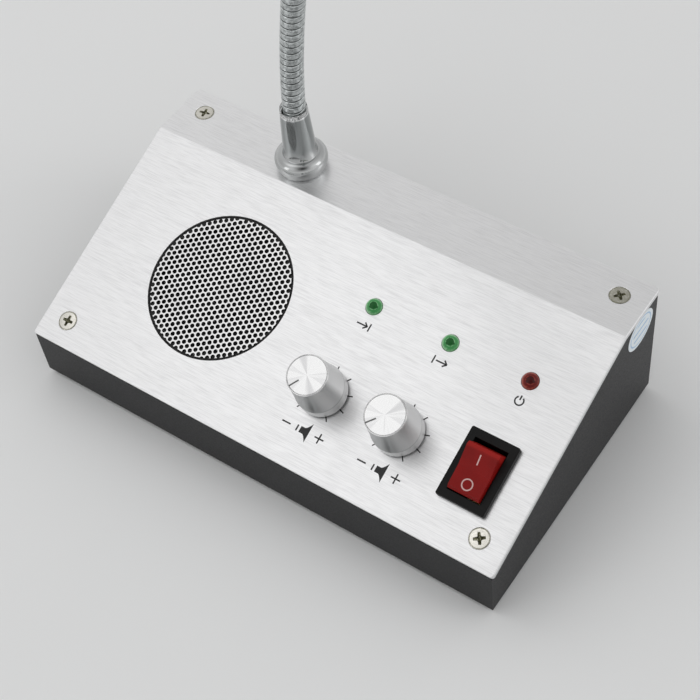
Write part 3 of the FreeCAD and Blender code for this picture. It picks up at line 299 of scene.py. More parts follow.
def powderCoat():
    # fine orange-peel grain
    finish = Finish("darkGreyCoat")
    grain = finish.noise(finish.place(), 1 / (painted["grain"] * mm), 2.0)
    colour = wear(finish, painted["colour"], 0.06, 60.0)
    rough = finish.step(grain, 0.3, 0.7, painted["roughness"] - 0.05, painted["roughness"] + 0.05)
    normal = finish.bump(grain, 0.02 * mm, 0.5)
    return finish.shader(colour, rough, 0.0, normal, Specular_IOR_Level=painted["shine"])


def metal(name, colour, roughness, grain=0.6, spread=0.04, depth=0.01, metallic=1.0):
    # plain metal with faint cloudy wear and a fine grain
    finish = Finish(name)
    speck = finish.noise(finish.place(), 1 / (grain * mm), 3.0)
    rough = finish.step(speck, 0.3, 0.7, roughness * 0.85, roughness * 1.15)
    normal = finish.bump(speck, depth * mm, 0.4)
    return finish.shader(wear(finish, colour, spread, 120.0), rough, metallic, normal)


def plastic(name, colour, roughness, grain=0.5, depth=0.01, spread=0.08, shine=0.5):
    # moulded plastic: slightly uneven colour and a fine moulded grain
    finish = Finish(name)
    speck = finish.noise(finish.place(), 1 / (grain * mm), 2.0)
    rough = finish.step(speck, 0.3, 0.7, roughness * 0.85, roughness * 1.15)
    normal = finish.bump(speck, depth * mm, 0.4)
    return finish.shader(wear(finish, colour, spread, 150.0), rough, 0.0, normal, Specular_IOR_Level=shine)


# dark is the colour of the painted shade in the recesses, round the rims and on the rear heads
nickel = {"colour": (0.76, 0.74, 0.68), "dark": (0.12, 0.118, 0.06), "roughness": 0.24}


def screwNickel():
    # warm plated heads with painted shade in the recess and round the edge, broken up by a cloud
    finish = Finish("screwNickel")
    cloud = finish.noise(finish.place(), 1 / (0.5 * mm), 3.0)
    paintedShade = finish.shade() * finish.step(cloud, 0.3, 0.55, 0.55, 1.0)
    colour = finish.mixed(paintedShade, wear(finish, nickel["colour"], 0.06, 300.0), nickel["dark"])
    rough = finish.step(cloud, 0.3, 0.7, nickel["roughness"] - 0.06, nickel["roughness"] + 0.1)
    return finish.shader(colour, rough, 0.9, finish.bump(cloud, 0.01 * mm, 0.4))


wound = {"light": (0.63, 0.66, 0.66), "dark": (0.36, 0.38, 0.38), "seamShade": (0.015, 0.016, 0.016),
         "roughness": 0.2}


def woundChrome():
    # polished strip with clouded patches, and painted shade in the seam between its turns
    finish = Finish("woundChrome")
    cloud = finish.noise(finish.place(), 1 / (0.9 * mm), 4.0, 0.6)
    colour = finish.mixed(finish.step(cloud, 0.36, 0.62), wound["dark"], wound["light"])
    colour = finish.mixed(finish.step(finish.shade(), 0.22, 0.5), colour, wound["seamShade"])
    rough = finish.step(cloud, 0.35, 0.65, wound["roughness"] + 0.1, wound["roughness"])
    return finish.shader(colour, rough, 1.0, finish.bump(cloud, 0.02 * mm, 0.35))


knobShape = {"base": 7.4, "top": 6.05, "foot": 1.0, "band": 4.6, "height": 15.8, "hollow": 0.12,
             "lip": 0.28, "lipDeep": 0.09, "disc": 0.03, "recess": 6.3, "recessUp": 5.0, "segments": 128}
# flank is the colour of the painted shade on the flank, fan of the painted reflection fans and streaks, rim of the
# painted shade lines
knobLook = {"colour": (0.81, 0.81, 0.81), "flank": (0.285, 0.295, 0.295), "fan": (0.46, 0.46, 0.47),
            "rim": (0.3, 0.3, 0.3), "roughness": 0.27, "sheen": 1.13, "bandShade": 0.5, "topShade": 0.88,
            "groove": 0.35, "wedge": 0.5, "streak": 0.28, "rimShade": 0.45, "lathePitch": 0.12}
# for each knob: the turn of its painted reflection fans in radians, how many there are, and how narrow they are
knobFans = {"in": (-0.75, 2, 0.84), "out": (0.61, 1, 0.94)}


def turnedMetal(name, centre, fanTurn, fanCount, fanEdge):
    # painted reflection on the disc: soft fans and faint streaks; painted shade: a line in the disc's rim groove,
    # a line in the crease over the band, and a flank darker on the side away from the light, most of all just
    # above the band;
    # with a lathe's fine rings about the knob's own axis
    look = knobLook
    finish = Finish(name)
    spot = finish.place((1, 1, 1), centre)
    side = finish.along(spot, acrossPanel)
    up = finish.along(spot, upPanel)
    height = finish.along(spot, outOfPanel)
    radius = (side * side + up * up) ** 0.5
    angle = finish.node("ShaderNodeMath", {"operation": "ARCTAN2"}, {0: side, 1: up})
    turn = finish.node("ShaderNodeCombineXYZ", {}, {0: angle * 2.0, 1: radius * 60.0, 2: height * 60.0})
    streakReflection = finish.noise(turn, 1.6, 1.0, 0.5)
    pitch = look["lathePitch"] * mm
    rings = finish.node("ShaderNodeCombineXYZ", {}, {0: angle * 0.3, 1: radius / pitch, 2: height / pitch})
    lathe = finish.noise(rings, 1.0, 2.0)
    disc, edge, band = knobShape["height"] * mm, knobShape["top"] * mm, knobShape["band"] * mm
    onDisc = finish.step(height, disc - 0.25 * mm, disc - 0.15 * mm)
    # painted reflection: darker fans on the disc
    fanReflection = finish.step(finish.wave("COSINE", (angle - fanTurn) * fanCount), fanEdge, 1.0) * onDisc
    facing = finish.wave("COSINE", angle - look["sheen"])
    # painted shade: the flank darker on the side away from the light
    flankShade = (1 - finish.step(facing, 0.0, 0.74)) * (1 - onDisc)
    flankShade = flankShade * finish.step(height, band - 0.2 * mm, band + 0.1 * mm, look["bandShade"], 1.0)
    flankShade = flankShade * finish.step(height, band, disc, 1.0, look["topShade"])
    above = finish.step(height, band + 0.2 * mm, band + 0.6 * mm)
    # painted shade lines: in the crease over the band and in the disc's rim groove
    groove = finish.step(height, band - 0.2 * mm, band) * (1 - above)
    outside = finish.step(radius, edge - 0.32 * mm, edge - 0.28 * mm)
    rim = finish.step(radius, edge - 0.48 * mm, edge - 0.44 * mm) * (1 - outside)
    colour = finish.mixed(flankShade, look["colour"], look["flank"])
    colour = finish.mixed(groove * look["groove"], colour, look["rim"])
    colour = finish.mixed(fanReflection * look["wedge"], colour, look["fan"])
    colour = finish.mixed(finish.step(streakReflection, 0.48, 0.7) * onDisc * look["streak"], colour, look["fan"])
    colour = finish.mixed(rim * onDisc * look["rimShade"], colour, look["rim"])
    rough = (1 - onDisc) * (lathe * 0.04 + 0.04) + look["roughness"]
    return finish.shader(colour, rough, 0.95, finish.bump(lathe * (1 - onDisc), 0.01 * mm, 0.02))


lensLook = {"core": 1.0, "coreSoft": 0.35, "ring": 1.7, "ringSoft": 0.7, "glint": 1.05, "glintWide": 0.2,
            "across": 0.45, "up": -0.15, "ragged": 1.1, "roughness": 0.3, "shine": 0.25}


def lens(name, deep, body, litRim, centre):
    # clear coloured dome: the chip's deep-coloured cup in the middle, a ring round it, and painted light: a pale
    # speckled rim and a glint ring
    look = lensLook
    finish = Finish(name)
    spot = finish.place((1, 1, 1), centre)
    side = finish.along(spot, acrossPanel) - look["across"] * mm
    up = finish.along(spot, upPanel) - look["up"] * mm
    radius = (side * side + up * up) ** 0.5
    cloud = finish.noise(spot, 1400.0, 3.0)
    reach = radius + (cloud - 0.5) * look["ragged"] * mm
    pastCore = finish.step(reach, look["core"] * mm, (look["core"] + look["coreSoft"]) * mm)
    colour = finish.mixed(pastCore, deep, body)
    pastRing = finish.step(reach, look["ring"] * mm, (look["ring"] + look["ringSoft"]) * mm)
    colour = finish.mixed(pastRing, colour, litRim)
    # painted highlight: a glint ring in the rim's colour
    inner, outer = look["glint"], look["glint"] + look["glintWide"]
    glint = finish.step(radius, inner * mm, (inner + 0.12) * mm)
    glint = glint * (1 - finish.step(radius, outer * mm, (outer + 0.12) * mm))
    colour = finish.mixed(glint * finish.step(cloud, 0.42, 0.58) * 0.6, colour, litRim)
    return finish.shader(colour, look["roughness"], 0.0, None, Specular_IOR_Level=look["shine"])


# edge is the colour of the painted highlight along the raised end
rockerLook = {"colour": (0.215, 0.006, 0.005), "edge": (0.37, 0.016, 0.012), "from": 3.9, "to": 4.9,
              "endHighlight": 0.7, "roughness": 0.38, "shine": 0.14}


def rockerRed():
    # glossy red moulding, with a painted highlight: paler along the raised end's chamfer
    finish = Finish("switchRed")
    look = rockerLook
    up = finish.along(finish.place((1, 1, 1), rockerPivot), upPanel)
    # painted highlight along the raised end
    endHighlight = finish.step(up, look["from"] * mm, look["to"] * mm) * look["endHighlight"]
    colour = finish.mixed(endHighlight, wear(finish, look["colour"], 0.1, 150.0), look["edge"])
    cloud = finish.noise(finish.place(), 1 / (0.6 * mm), 2.0)
    rough = finish.step(cloud, 0.3, 0.7, look["roughness"] - 0.05, look["roughness"] + 0.05)
    normal = finish.bump(cloud, 0.004 * mm, 0.4)
    return finish.shader(colour, rough, 0.0, normal, Specular_IOR_Level=look["shine"])


# sleeve is the collar's colour darkened as a painted reflection, lip a painted highlight round the mouth
chromeLook = {"collar": (0.48, 0.49, 0.49), "sleeve": (0.31, 0.325, 0.325), "lip": (0.8, 0.81, 0.81),
              "from": 6.0, "to": 10.0, "lipUp": 21.4, "roughness": 0.12}


def bellChrome():
    # plated and polished, with painted reflection: darker up the sleeve than on the collar, and a painted
    # highlight round the mouth's lip
    look = chromeLook
    finish = Finish("chromePlate")
    height = finish.along(finish.place((1, 1, 1), (0, 0, flatTop)), (0, 0, 1))
    # painted reflection: the sleeve darker than the collar
    sleeve = finish.step(height, look["from"] * mm, look["to"] * mm)
    colour = finish.mixed(sleeve, look["collar"], look["sleeve"])
    lip = finish.step(height, (look["lipUp"] - 0.3) * mm, (look["lipUp"] + 0.2) * mm)
    colour = finish.mixed(lip, colour, look["lip"])
    cloud = finish.noise(finish.place(), 1 / (0.8 * mm), 3.0)
    rough = finish.step(cloud, 0.3, 0.7, look["roughness"] * 0.85, look["roughness"] * 1.15)
    return finish.shader(colour, rough, 1.0, finish.bump(cloud, 0.002 * mm, 0.4))


# wall is the colour of the painted shade inside the holes
punched = {"top": -0.2, "colour": (0.88, 0.88, 0.88), "wall": (0.02, 0.02, 0.02), "roughness": 0.36}


def punchedMetal():
    # bright sheet whose holes are dark inside, from just under its face: painted shade on the hole walls
    finish = Finish("grilleZinc")
    cloud = finish.noise(finish.place(), 1 / (0.5 * mm), 3.0)
    height = finish.along(finish.place((1, 1, 1), rockerPivot), outOfPanel)
    # painted shade: the hole walls below the face
    face = finish.step(height, (punched["top"] - 0.14) * mm, (punched["top"] - 0.04) * mm)
    colour = finish.mixed(face, punched["wall"], wear(finish, punched["colour"], 0.04, 120.0))
    rough = finish.step(cloud, 0.3, 0.7, punched["roughness"] - 0.04, punched["roughness"] + 0.04)
    return finish.shader(colour, rough, 0.9)


board = {"lacquer": (0.012, 0.1, 0.035, 1), "darker": (0.012, 0.09, 0.03, 1), "run": (0.03, 0.2, 0.08, 1)}


def boardGreen():
    # lacquered board with faint paler copper runs
    finish = Finish("boardGreen")
    bricks = {"Vector": finish.place(), "Scale": 160.0, "Mortar Size": 0.02,
              "Color1": board["lacquer"], "Color2": board["darker"], "Mortar": board["run"]}
    return finish.shader(finish.node("ShaderNodeTexBrick", {}, bricks), 0.35, 0.0, None, Coat_Weight=0.4)


# valley is the colour of the painted shade between turns, crest of the painted light on them
coil = {"valley": (0.5, 0.18, 0.07), "crest": (0.8, 0.4, 0.2), "wire": 0.03}


def woundCopper():
    # fine turns of enamelled wire about the loudspeaker's axis, with painted shade in the valleys between turns
    # and painted light on their crests
    finish = Finish("coilCopper")
    height = finish.along(finish.place(), outOfPanel)
    turns = finish.step(finish.wave("SINE", height / (coil["wire"] * mm)), -1, 1)
    return finish.shader(finish.mixed(turns, coil["valley"], coil["crest"]), 0.3, 0.9)


finishes = {
    "housing_paint": powderCoat(),
    "panel_metal": brushedMetal(),
    "knob_metal": metal("turnedAluminium", (0.75, 0.75, 0.77), 0.3),
    "grille_metal": punchedMetal(),
    "screw_metal": screwNickel(),
    "chrome": bellChrome(),
    "neck_metal": woundChrome(),
    "steel": metal("plainSteel", (0.55, 0.55, 0.56), 0.35),
    "rubber": plastic("blackRubber", (0.018, 0.018, 0.018), 0.75, grain=0.3, depth=0.02),
    "black_plastic": plastic("satinBlack", (0.008, 0.008, 0.008), 0.42, grain=0.25, depth=0.012, shine=0.14),
    "red_plastic": rockerRed(),
    "red_lens": plastic("redLens", (0.3, 0.02, 0.015), 0.2, grain=0.5, depth=0.002),
    "green_lens": plastic("greenLens", (0.05, 0.3, 0.1), 0.2, grain=0.5, depth=0.002),
    "cone_paper": plastic("conePaper", (0.02, 0.02, 0.022), 0.85, grain=0.2, depth=0.03),
    "magnet": plastic("ferrite", (0.05, 0.05, 0.052), 0.6, grain=0.4, depth=0.02),
    "coil_copper": woundCopper(),
    "contact_brass": metal("contactBrass", (0.75, 0.56, 0.26), 0.28),
    "board": boardGreen(),
    "chip_plastic": plastic("chipBlack", (0.02, 0.02, 0.021), 0.5, grain=0.2, depth=0.01),
    "sink_metal": metal("blackAnodised", (0.05, 0.05, 0.052), 0.45, metallic=0.6),
    "can_sleeve": plastic("canSleeve", (0.02, 0.03, 0.07), 0.3, grain=0.6, depth=0.002),
    "header_plastic": plastic("headerNylon", (0.75, 0.72, 0.64), 0.45),
    "wire_red": plastic("wireRed", (0.45, 0.02, 0.015), 0.4, grain=0.5, depth=0.004),
}
slotOf = {part["node"]: part["material_slot"] for part in frame["record"]["subparts"]}
for name, node in frame["nodes"].items():
    node.data.materials.clear()
    node.data.materials.append(finishes[slotOf[name]])
print("finishes made")


def finished(piece, material, body=None):
    # gives a piece its material and slot, and the body it moves with
    piece.data.materials.append(material)
    if body:
        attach(piece, body)
    return piece


neck = {"lengths": 8, "radius": 3.4, "inside": 2.2, "turn": 2.4, "groove": 0.42, "sharpness": 7.0,
        "belowHinge": 9.6, "pastTop": 0.5, "rowStep": 0.1, "innerStep": 12, "segments": 48, "samples": 400}


def neckStations():
    # a point and a body for each stretch's ends, and the hinge each one bends about
    names = [f"neck_{number}" for number in range(1, neck["lengths"] + 1)]
    points = [hinges[name] for name in names]
    low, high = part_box("mic_barrel")
    middle = np.array((low + high) / 2)
    lean = (middle - points[-1]) / np.linalg.norm(middle - points[-1])
    top = points[-1] + lean * (np.linalg.norm(points[-1] - points[-2]) + neck["pastTop"] * mm)
    ends = [(below + above) / 2 for below, above in zip(points[:-1], points[1:])]
    ends.append((points[-1] + top) / 2)
    foot = points[0] - np.array([0, 0, neck["belowHinge"] * mm])
    stretches = list(zip([foot, *ends[:-1]], points, ends, ["base", *names[:-1]], names))
    stretches.append((ends[-1], (ends[-1] + top) / 2, top, names[-1], None))
    return stretches


def neckSkin(start, knee, end, travelled):
    # the line is (1-t)^2 start + 2t(1-t) knee + t^2 end; the radius dips by groove |2u-1|^sharpness
    # where u is the share of a turn reached by the length travelled less the angle
    t = np.linspace(0, 1, neck["samples"])[:, None]
    line = (1 - t) ** 2 * start + 2 * t * (1 - t) * knee + t ** 2 * end
    reach = np.concatenate([[0], np.cumsum(np.linalg.norm(np.diff(line, axis=0), axis=1))])
    rows = int(round(reach[-1] / (neck["rowStep"] * mm)))
    t = np.interp(np.linspace(0, reach[-1], rows + 1), reach, t[:, 0])[:, None]
    line = (1 - t) ** 2 * start + 2 * t * (1 - t) * knee + t ** 2 * end
    tangent = 2 * (1 - t) * (knee - start) + 2 * t * (end - knee)
    tangent /= np.linalg.norm(tangent, axis=1, keepdims=True)
    side = np.array([1.0, 0, 0]) - tangent * tangent[:, :1]
    side /= np.linalg.norm(side, axis=1, keepdims=True)
    front = np.cross(tangent, side)
    angle = np.arange(neck["segments"]) / neck["segments"] * 2 * np.pi
    length = (travelled + np.linspace(0, reach[-1], rows + 1))[:, None] / (neck["turn"] * mm)
    share = np.mod(length - angle / (2 * np.pi), 1.0)
    dip = np.abs(2 * share - 1) ** neck["sharpness"]
    radius = (neck["radius"] - neck["groove"] * dip) * mm
    spoke = side[:, None] * np.cos(angle)[:, None] + front[:, None] * np.sin(angle)[:, None]
    outer = line[:, None] + spoke * radius[..., None]
    some = np.unique(np.append(np.arange(0, rows, neck["innerStep"]), rows))[::-1]
    inner = (line[:, None] + spoke * neck["inside"] * mm)[some]
    points = np.concatenate([outer, inner])
    # the groove's dip also sets the painted shade in the seam between turns
    shade = np.concatenate([dip, 0 * dip[some]])
    return points, gridFaces(len(points), neck["segments"], True, True), shade, reach[-1]


travelled = 0.0
for number, (start, knee, end, lower, upper) in enumerate(neckStations()):
    points, faces, shade, length = neckSkin(start, knee, end, travelled)
    travelled += length
    skin = meshPiece(f"neckSkin{number}", points, faces, shade=shade)
    if upper:
        finished(skin, finishes["neck_metal"])
        tuple(start if number else knee - (end - knee))
        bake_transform(skin)
    else:
        finished(skin, finishes["neck_metal"], lower)
    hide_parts(f"neck_length_{number}" if number else "neck_base")
print("neck wound,", round(travelled / mm, 1), "mm")

bell = {"seat": 4.06, "foot": 7.3, "footEdge": 0.12, "footUp": 0.4, "belly": 8.0, "bellyUp": 3.2, "roll": 2.6,
        "waist": 4.9, "waistUp": 9.0, "sweep": 2.6, "mouth": 4.15, "height": 22.0, "bore": 3.6, "inside": 9.2,
        "under": 0.02, "segments": 128}


def neckBell():
    # a low round collar that sweeps in to a tapering sleeve: the sweep's radius falls as (1-t)^sweep
    seat, foot, belly, bellyUp = bell["seat"], bell["foot"], bell["belly"], bell["bellyUp"]
    waist, waistUp, mouth, bore = bell["waist"], bell["waistUp"], bell["mouth"], bell["bore"]
    shoulder, shoulderUp = belly - bell["roll"], bellyUp + bell["roll"]
    angle = np.linspace(0, 1, 26)[:, None] * np.pi / 2
    roll = np.hstack([shoulder + bell["roll"] * np.cos(angle), bellyUp + bell["roll"] * np.sin(angle)])
    t = np.linspace(0.04, 1, 24)[:, None]
    sweep = np.hstack([waist + (shoulder - waist) * (1 - t) ** bell["sweep"],
                       shoulderUp + (waistUp - shoulderUp) * t])
    under = softened([(seat, bell["under"], 0), (foot, bell["under"], 0.3), (belly - 0.1, 1.5, 0)])[:-1]
    share = np.linspace(0, 1, 10)[:-1, None]
    edge, edgeUp = foot + bell["footEdge"], bell["footUp"]
    flank = np.hstack([edge + (belly - edge) * np.sin(share * np.pi / 2),
                       edgeUp + (bellyUp - edgeUp) * share])
    top, inside = bell["height"] - bell["under"], bell["inside"]
    sleeve = softened([(waist - 0.01, waistUp + 0.4, 0), (mouth + 0.12, bell["height"] - 1.2, 2.0),
                       (mouth, top, 0.16), (bore, top, 0.1), (bore, inside, 0), (seat, inside, 0)])
    return np.concatenate([under, flank, roll, sweep, sleeve, [[seat, inside]]])


neckFoot = np.array([hinges["neck_1"][0], hinges["neck_1"][1], flatTop])
points, faces = turnedGrid(neckBell(), bell["segments"], True)
bellPiece = meshPiece("neckCollar", placed(points, neckFoot, uprightBasis), faces)
finished(bellPiece, finishes["chrome"], "base")
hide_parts("neck_bell")
print("bell turned")


# the pointer is a dark strip: painted shade where the engraved pointer line lies
pointerShape = {"inner": 2.6, "outer": 5.75, "width": 0.42, "depth": 0.12, "proud": 0.01,
                "turn": {"in": 148.0, "out": 139.0}, "colour": (0.12, 0.12, 0.12)}


def knobProfile():
    # skirt band, then a taper that sags inwards by 4 t (1-t) hollow, then a lip round a spun disc
    shape = knobShape
    base, top, band, high = shape["base"], shape["top"], shape["band"], shape["height"]
    recess, recessUp, foot = shape["recess"], shape["recessUp"], shape["foot"]
    t = np.linspace(0.02, 0.98, 22)[:, None]
    taper = np.hstack([base + (top - base) * t - 4 * t * (1 - t) * shape["hollow"],
                       band + (high - 0.35 - band) * t])
    skirt = softened([(0, recessUp, 0), (recess, recessUp, 0.3), (recess, foot, 0.1), (base, foot, 0.18),
                      (base, band - 0.1, 0.25), tuple(taper[0]) + (0,)])[:-1]
    lip, groove, disc = top - shape["lip"], high - shape["lipDeep"], high - shape["disc"]
    crown = softened([tuple(taper[-1]) + (0,), (top, high, 0.2), (lip, high, 0.06),
                      (lip - 0.04, groove, 0.03), (lip - 0.13, groove, 0.03), (lip - 0.17, disc, 0.03),
                      (0, disc, 0)])[1:]
    return np.concatenate([skirt, taper, crown])


def strip(x0, x1, y0, y1, low, high):
    # a small block as a 2 x 4 grid, its ends folded shut
    ring = np.array([[y0, low], [y1, low], [y1, high], [y0, high]])
    middle = ring.mean(0) * np.ones((4, 2))
    ends = ((x0, middle), (x0, ring), (x1, ring), (x1, middle))
    points = np.array([np.column_stack([np.full(4, x), part]) for x, part in ends])
    return points, gridFaces(4, 4, False, True)


def turnAbout(points, degrees):
    # about the third axis
    angle = np.radians(degrees)
    cosine, sine = np.cos(angle), np.sin(angle)
    return points @ np.array([[cosine, sine, 0], [-sine, cosine, 0], [0, 0, 1]])


for side in ("in", "out"):
    body, title = f"knob_{side}_body", side.title()
    centre = onPanel(hinges[body])
    points, faces = turnedGrid(knobProfile(), knobShape["segments"])
    knob = meshPiece(f"knob{title}Body", placed(points, centre), faces)
    finished(knob, turnedMetal(f"knob{title}Metal", centre, *knobFans[side]), body)
    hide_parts(f"knob_{side}")
    half, top = pointerShape["width"] / 2, knobShape["height"]
    points, faces = strip(-half, half, pointerShape["inner"], pointerShape["outer"],
                          top - pointerShape["depth"], top + pointerShape["proud"])
    points = turnAbout(points, pointerShape["turn"][side])
    # a dark strip as painted shade of the engraved pointer line
    mark = meshPiece(f"knob{title}Pointer", placed(points, centre), faces, False)
    finished(mark, plastic(f"pointer{title}", pointerShape["colour"], 0.5), body)
print("knobs turned")


lampShape = {"radius": 2.46, "tip": 2.2, "up": 28.5, "tall": 8.6, "flange": 2.9, "flangeThick": 1.0,
             "segments": 64}
# for each lamp: the colours of its cup, its body, and the painted light on its rim
greens = ((0.01, 0.1, 0.02), (0.06, 0.3, 0.09), (0.3, 0.6, 0.32))
reds = ((0.05, 0.002, 0.002), (0.13, 0.005, 0.004), (0.36, 0.06, 0.035))
lampTints = {"in": greens, "out": greens, "power": reds}


def lampProfile():
    # a round dome over a straight barrel, as a quarter circle
    angle = np.linspace(0, np.pi / 2, 24)[:, None]
    radius = lampShape["radius"]
    dome = np.hstack([radius * np.cos(angle), lampShape["tip"] - radius + radius * np.sin(angle)])
    low = lampShape["tip"] - lampShape["tall"]
    wide, step = lampShape["flange"], low + lampShape["flangeThick"]
    return np.concatenate([[[0, low], [wide, low], [wide, step], [radius, step]], dome])


def lampCentre(side, up):
    # a place in line with a lamp across the panel
    low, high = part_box(f"led_{side}")
    return panelSpot((low.x + high.x) / 2 / mm, up)


for side, tints in lampTints.items():
    centre = lampCentre(side, lampShape["up"])
    points, faces = turnedGrid(lampProfile(), lampShape["segments"])
    lamp = meshPiece(f"lamp{side.title()}Dome", placed(points, centre), faces)
    finished(lamp, lens(f"lamp{side.title()}Tint", *tints, centre), "base")
    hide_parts(f"led_{side}")
print("lamps fitted")


screwShape = {"head": 2.96, "thread": 1.5, "length": 9.0, "arm": 1.75, "half": 0.43, "depth": 1.3,
              "crown": 0.1, "rim": 0.36, "across": 72.0, "up": -15.5, "back": 7.3, "segments": 200}
# for the left and the right side: the front screw's turn, the rear screw's, and how much painted shade darkens the
# rear one as a darker reflection
screwTurns = {-1: (1.0, 11.0, 0.16), 1: (34.0, 44.0, 0.56)}


def screwGrid():
    # a crowned head, its height falling as 1 - (r/head)^2, whose cross recess is deepest in the middle
    # and shallows towards the arms' ends; the painted shade is full in the recess and round the rim
    shape = screwShape
    head, arm, thread, end = shape["head"], shape["arm"], shape["thread"], -shape["length"]
    radius = np.concatenate([np.linspace(0, 2.2, 34), np.linspace(2.3, head - 0.12, 8)])[:, None]
    angle = np.arange(shape["segments"]) / shape["segments"] * 2 * np.pi
    x, y = radius * np.cos(angle), radius * np.sin(angle)
    long = np.maximum(np.abs(x), np.abs(y))
    short = np.minimum(np.abs(x), np.abs(y))
    half = shape["half"] * (1.25 - 0.35 * long / arm) + 0.25 * np.clip(0.8 - long, 0, 1)
    wall = np.clip((half - short) / 0.12, 0, 1) * np.clip((arm - long) / 0.18, 0, 1)
    floor = shape["depth"] * np.clip(1.1 - long / arm, 0.25, 1)
    height = shape["crown"] * (1 - (radius / head) ** 2) - wall * floor
    edge = np.clip((radius - head + shape["rim"]) / 0.12, 0, 1) + 0 * angle
    cone = softened([(head - 0.1, 0.0, 0), (head, -0.05, 0.03), (thread, thread - head - 0.05, 0.1),
                     (thread, end, 0.1), (0, end, 0)])
    under, _ = turnedGrid(cone, shape["segments"])
    points = np.concatenate([np.stack([x, y, height], -1), under])
    shade = np.concatenate([np.maximum(wall ** 0.5, edge), 0 * under[..., 0]])
    return points, gridFaces(len(points), shape["segments"], False, True), shade


heads, shades = [], []
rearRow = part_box("housing_tub")[1].y - screwShape["back"] * mm
for side, (slopeTurn, flatTurn, paintedShade) in screwTurns.items():
    points, faces, shade = screwGrid()
    shades += [shade, np.maximum(shade, paintedShade)]
    slopeCentre = panelSpot(side * screwShape["across"], screwShape["up"])
    heads.append((placed(turnAbout(points, slopeTurn), slopeCentre), faces))
    flatCentre = (side * screwShape["across"] * mm, rearRow, flatTop)
    heads.append((placed(turnAbout(points, flatTurn), flatCentre, uprightBasis), faces))
screws = meshPiece("panelScrews", *joined(heads), shade=np.concatenate(shades))
finished(screws, finishes["screw_metal"], "base")
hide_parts("panel_screws")
print("screws driven")


ink = {"colour": (0.012, 0.012, 0.013), "height": 0.03, "sunk": 0.02, "line": 0.43}
tickShape = {"count": 9, "step": 36.0, "inner": 7.0, "outer": 8.6, "line": 0.34}


def band(lower, upper):
    # the area between two lines of equal count, given a thickness, its ends folded shut
    lower, upper = np.asarray(lower, float), np.asarray(upper, float)
    low, high = -ink["sunk"], ink["height"]
    flat = [(lower, low), (upper, low), (upper, high), (lower, high)]
    rows = np.stack([np.column_stack([line, np.full(len(line), z)]) for line, z in flat], 1)
    first, last = [end.mean(1, keepdims=True) * np.ones((1, 4, 1)) for end in (rows[:1], rows[-1:])]
    rows = np.concatenate([first, rows, last])
    return rows, gridFaces(len(rows), 4, False, True)


def bar(x0, y0, x1, y1, width):
    # a straight stroke from one point to another
    start, end = np.array([x0, y0]), np.array([x1, y1])
    ahead = (end - start) / np.linalg.norm(end - start)
    aside = np.array([-ahead[1], ahead[0]]) * width / 2
    return band([start - aside, end - aside], [start + aside, end + aside])


def arc(x, y, radius, width, start, end, count=40):
    # a stroke along a circle between two angles in degrees
    angle = np.radians(np.linspace(start, end, count))
    circle = np.stack([np.cos(angle), np.sin(angle)], 1)
    return band((x, y) + circle * (radius - width / 2), (x, y) + circle * (radius + width / 2))


def shifted(grid, dx, dy):
    # the same grid, moved
    return grid[0] + np.array([dx, dy, 0]), grid[1]


volumeSign = {"drop": 12.1, "minus": (-6.87, -4.02), "plus": (4.2, 7.2), "slot": -1.76, "slotHalf": 0.92,
              "slotWide": 0.45, "box": (-0.8, 0.55), "boxTall": 1.88, "horn": 0.5, "hornLong": 1.65,
              "hornHalf": 0.94, "flare": 1.98}


def volumeMarks():
    # minus, a loudspeaker sign whose horn widens as t^1.5, and plus, in one row under a knob
    sign, line = volumeSign, ink["line"]
    t = np.linspace(0, 1, 14)
    x = sign["horn"] + sign["hornLong"] * t
    half = sign["hornHalf"] + sign["flare"] * t ** 1.5
    left, right = sign["plus"]
    middle, arm = (left + right) / 2, (right - left) / 2
    return [bar(sign["minus"][0], 0, sign["minus"][1], 0, line),
            bar(sign["slot"], -sign["slotHalf"], sign["slot"], sign["slotHalf"], sign["slotWide"]),
            bar(sign["box"][0], 0, sign["box"][1], 0, sign["boxTall"]),
            band(np.column_stack([x, -half]), np.column_stack([x, half])),
            bar(left, 0, right, 0, line), bar(middle, -arm, middle, arm, line)]


def ticks():
    # strokes round the knob, evenly spaced either side of straight up
    shape, rows = tickShape, []
    inner, outer = shape["inner"], shape["outer"]
    for place in range(shape["count"]):
        angle = np.radians(90 + (place - (shape["count"] - 1) / 2) * shape["step"])
        across, up = np.cos(angle), np.sin(angle)
        rows.append(bar(inner * across, inner * up, outer * across, outer * up, shape["line"]))
    return rows


lampSign = {"drop": 6.05, "head": 1.05, "spread": 0.95, "overlap": 0.04, "near": 1.2, "far": 2.2,
            "barAt": 2.0, "barHalf": 1.22, "ring": 1.25, "ringDown": -0.15, "stroke": (0.1, 1.5)}


def arrow(x0, x1):
    # a stroke that ends in an open head
    line, spread, overlap = ink["line"], lampSign["spread"], lampSign["overlap"]
    head = lampSign["head"] if x1 > x0 else -lampSign["head"]
    back, tip = x1 - head, x1 + head * 0.1
    return [bar(x0, 0, x1, 0, line), bar(back, spread, tip, -overlap, line),
            bar(back, -spread, tip, overlap, line)]


def lampMarks(side):
    # arrow into a bar, arrow out of a bar, and a broken ring with a stroke
    line, near, far = ink["line"], lampSign["near"], lampSign["far"]
    barAt, half = lampSign["barAt"], lampSign["barHalf"]
    if side == "in":
        return arrow(-far, near) + [bar(barAt, -half, barAt, half, line)]
    if side == "out":
        return arrow(-near, far) + [bar(-barAt, -half, -barAt, half, line)]
    low, high = lampSign["stroke"]
    return [arc(0, lampSign["ringDown"], lampSign["ring"], line, 125, 415), bar(0, low, 0, high, line)]


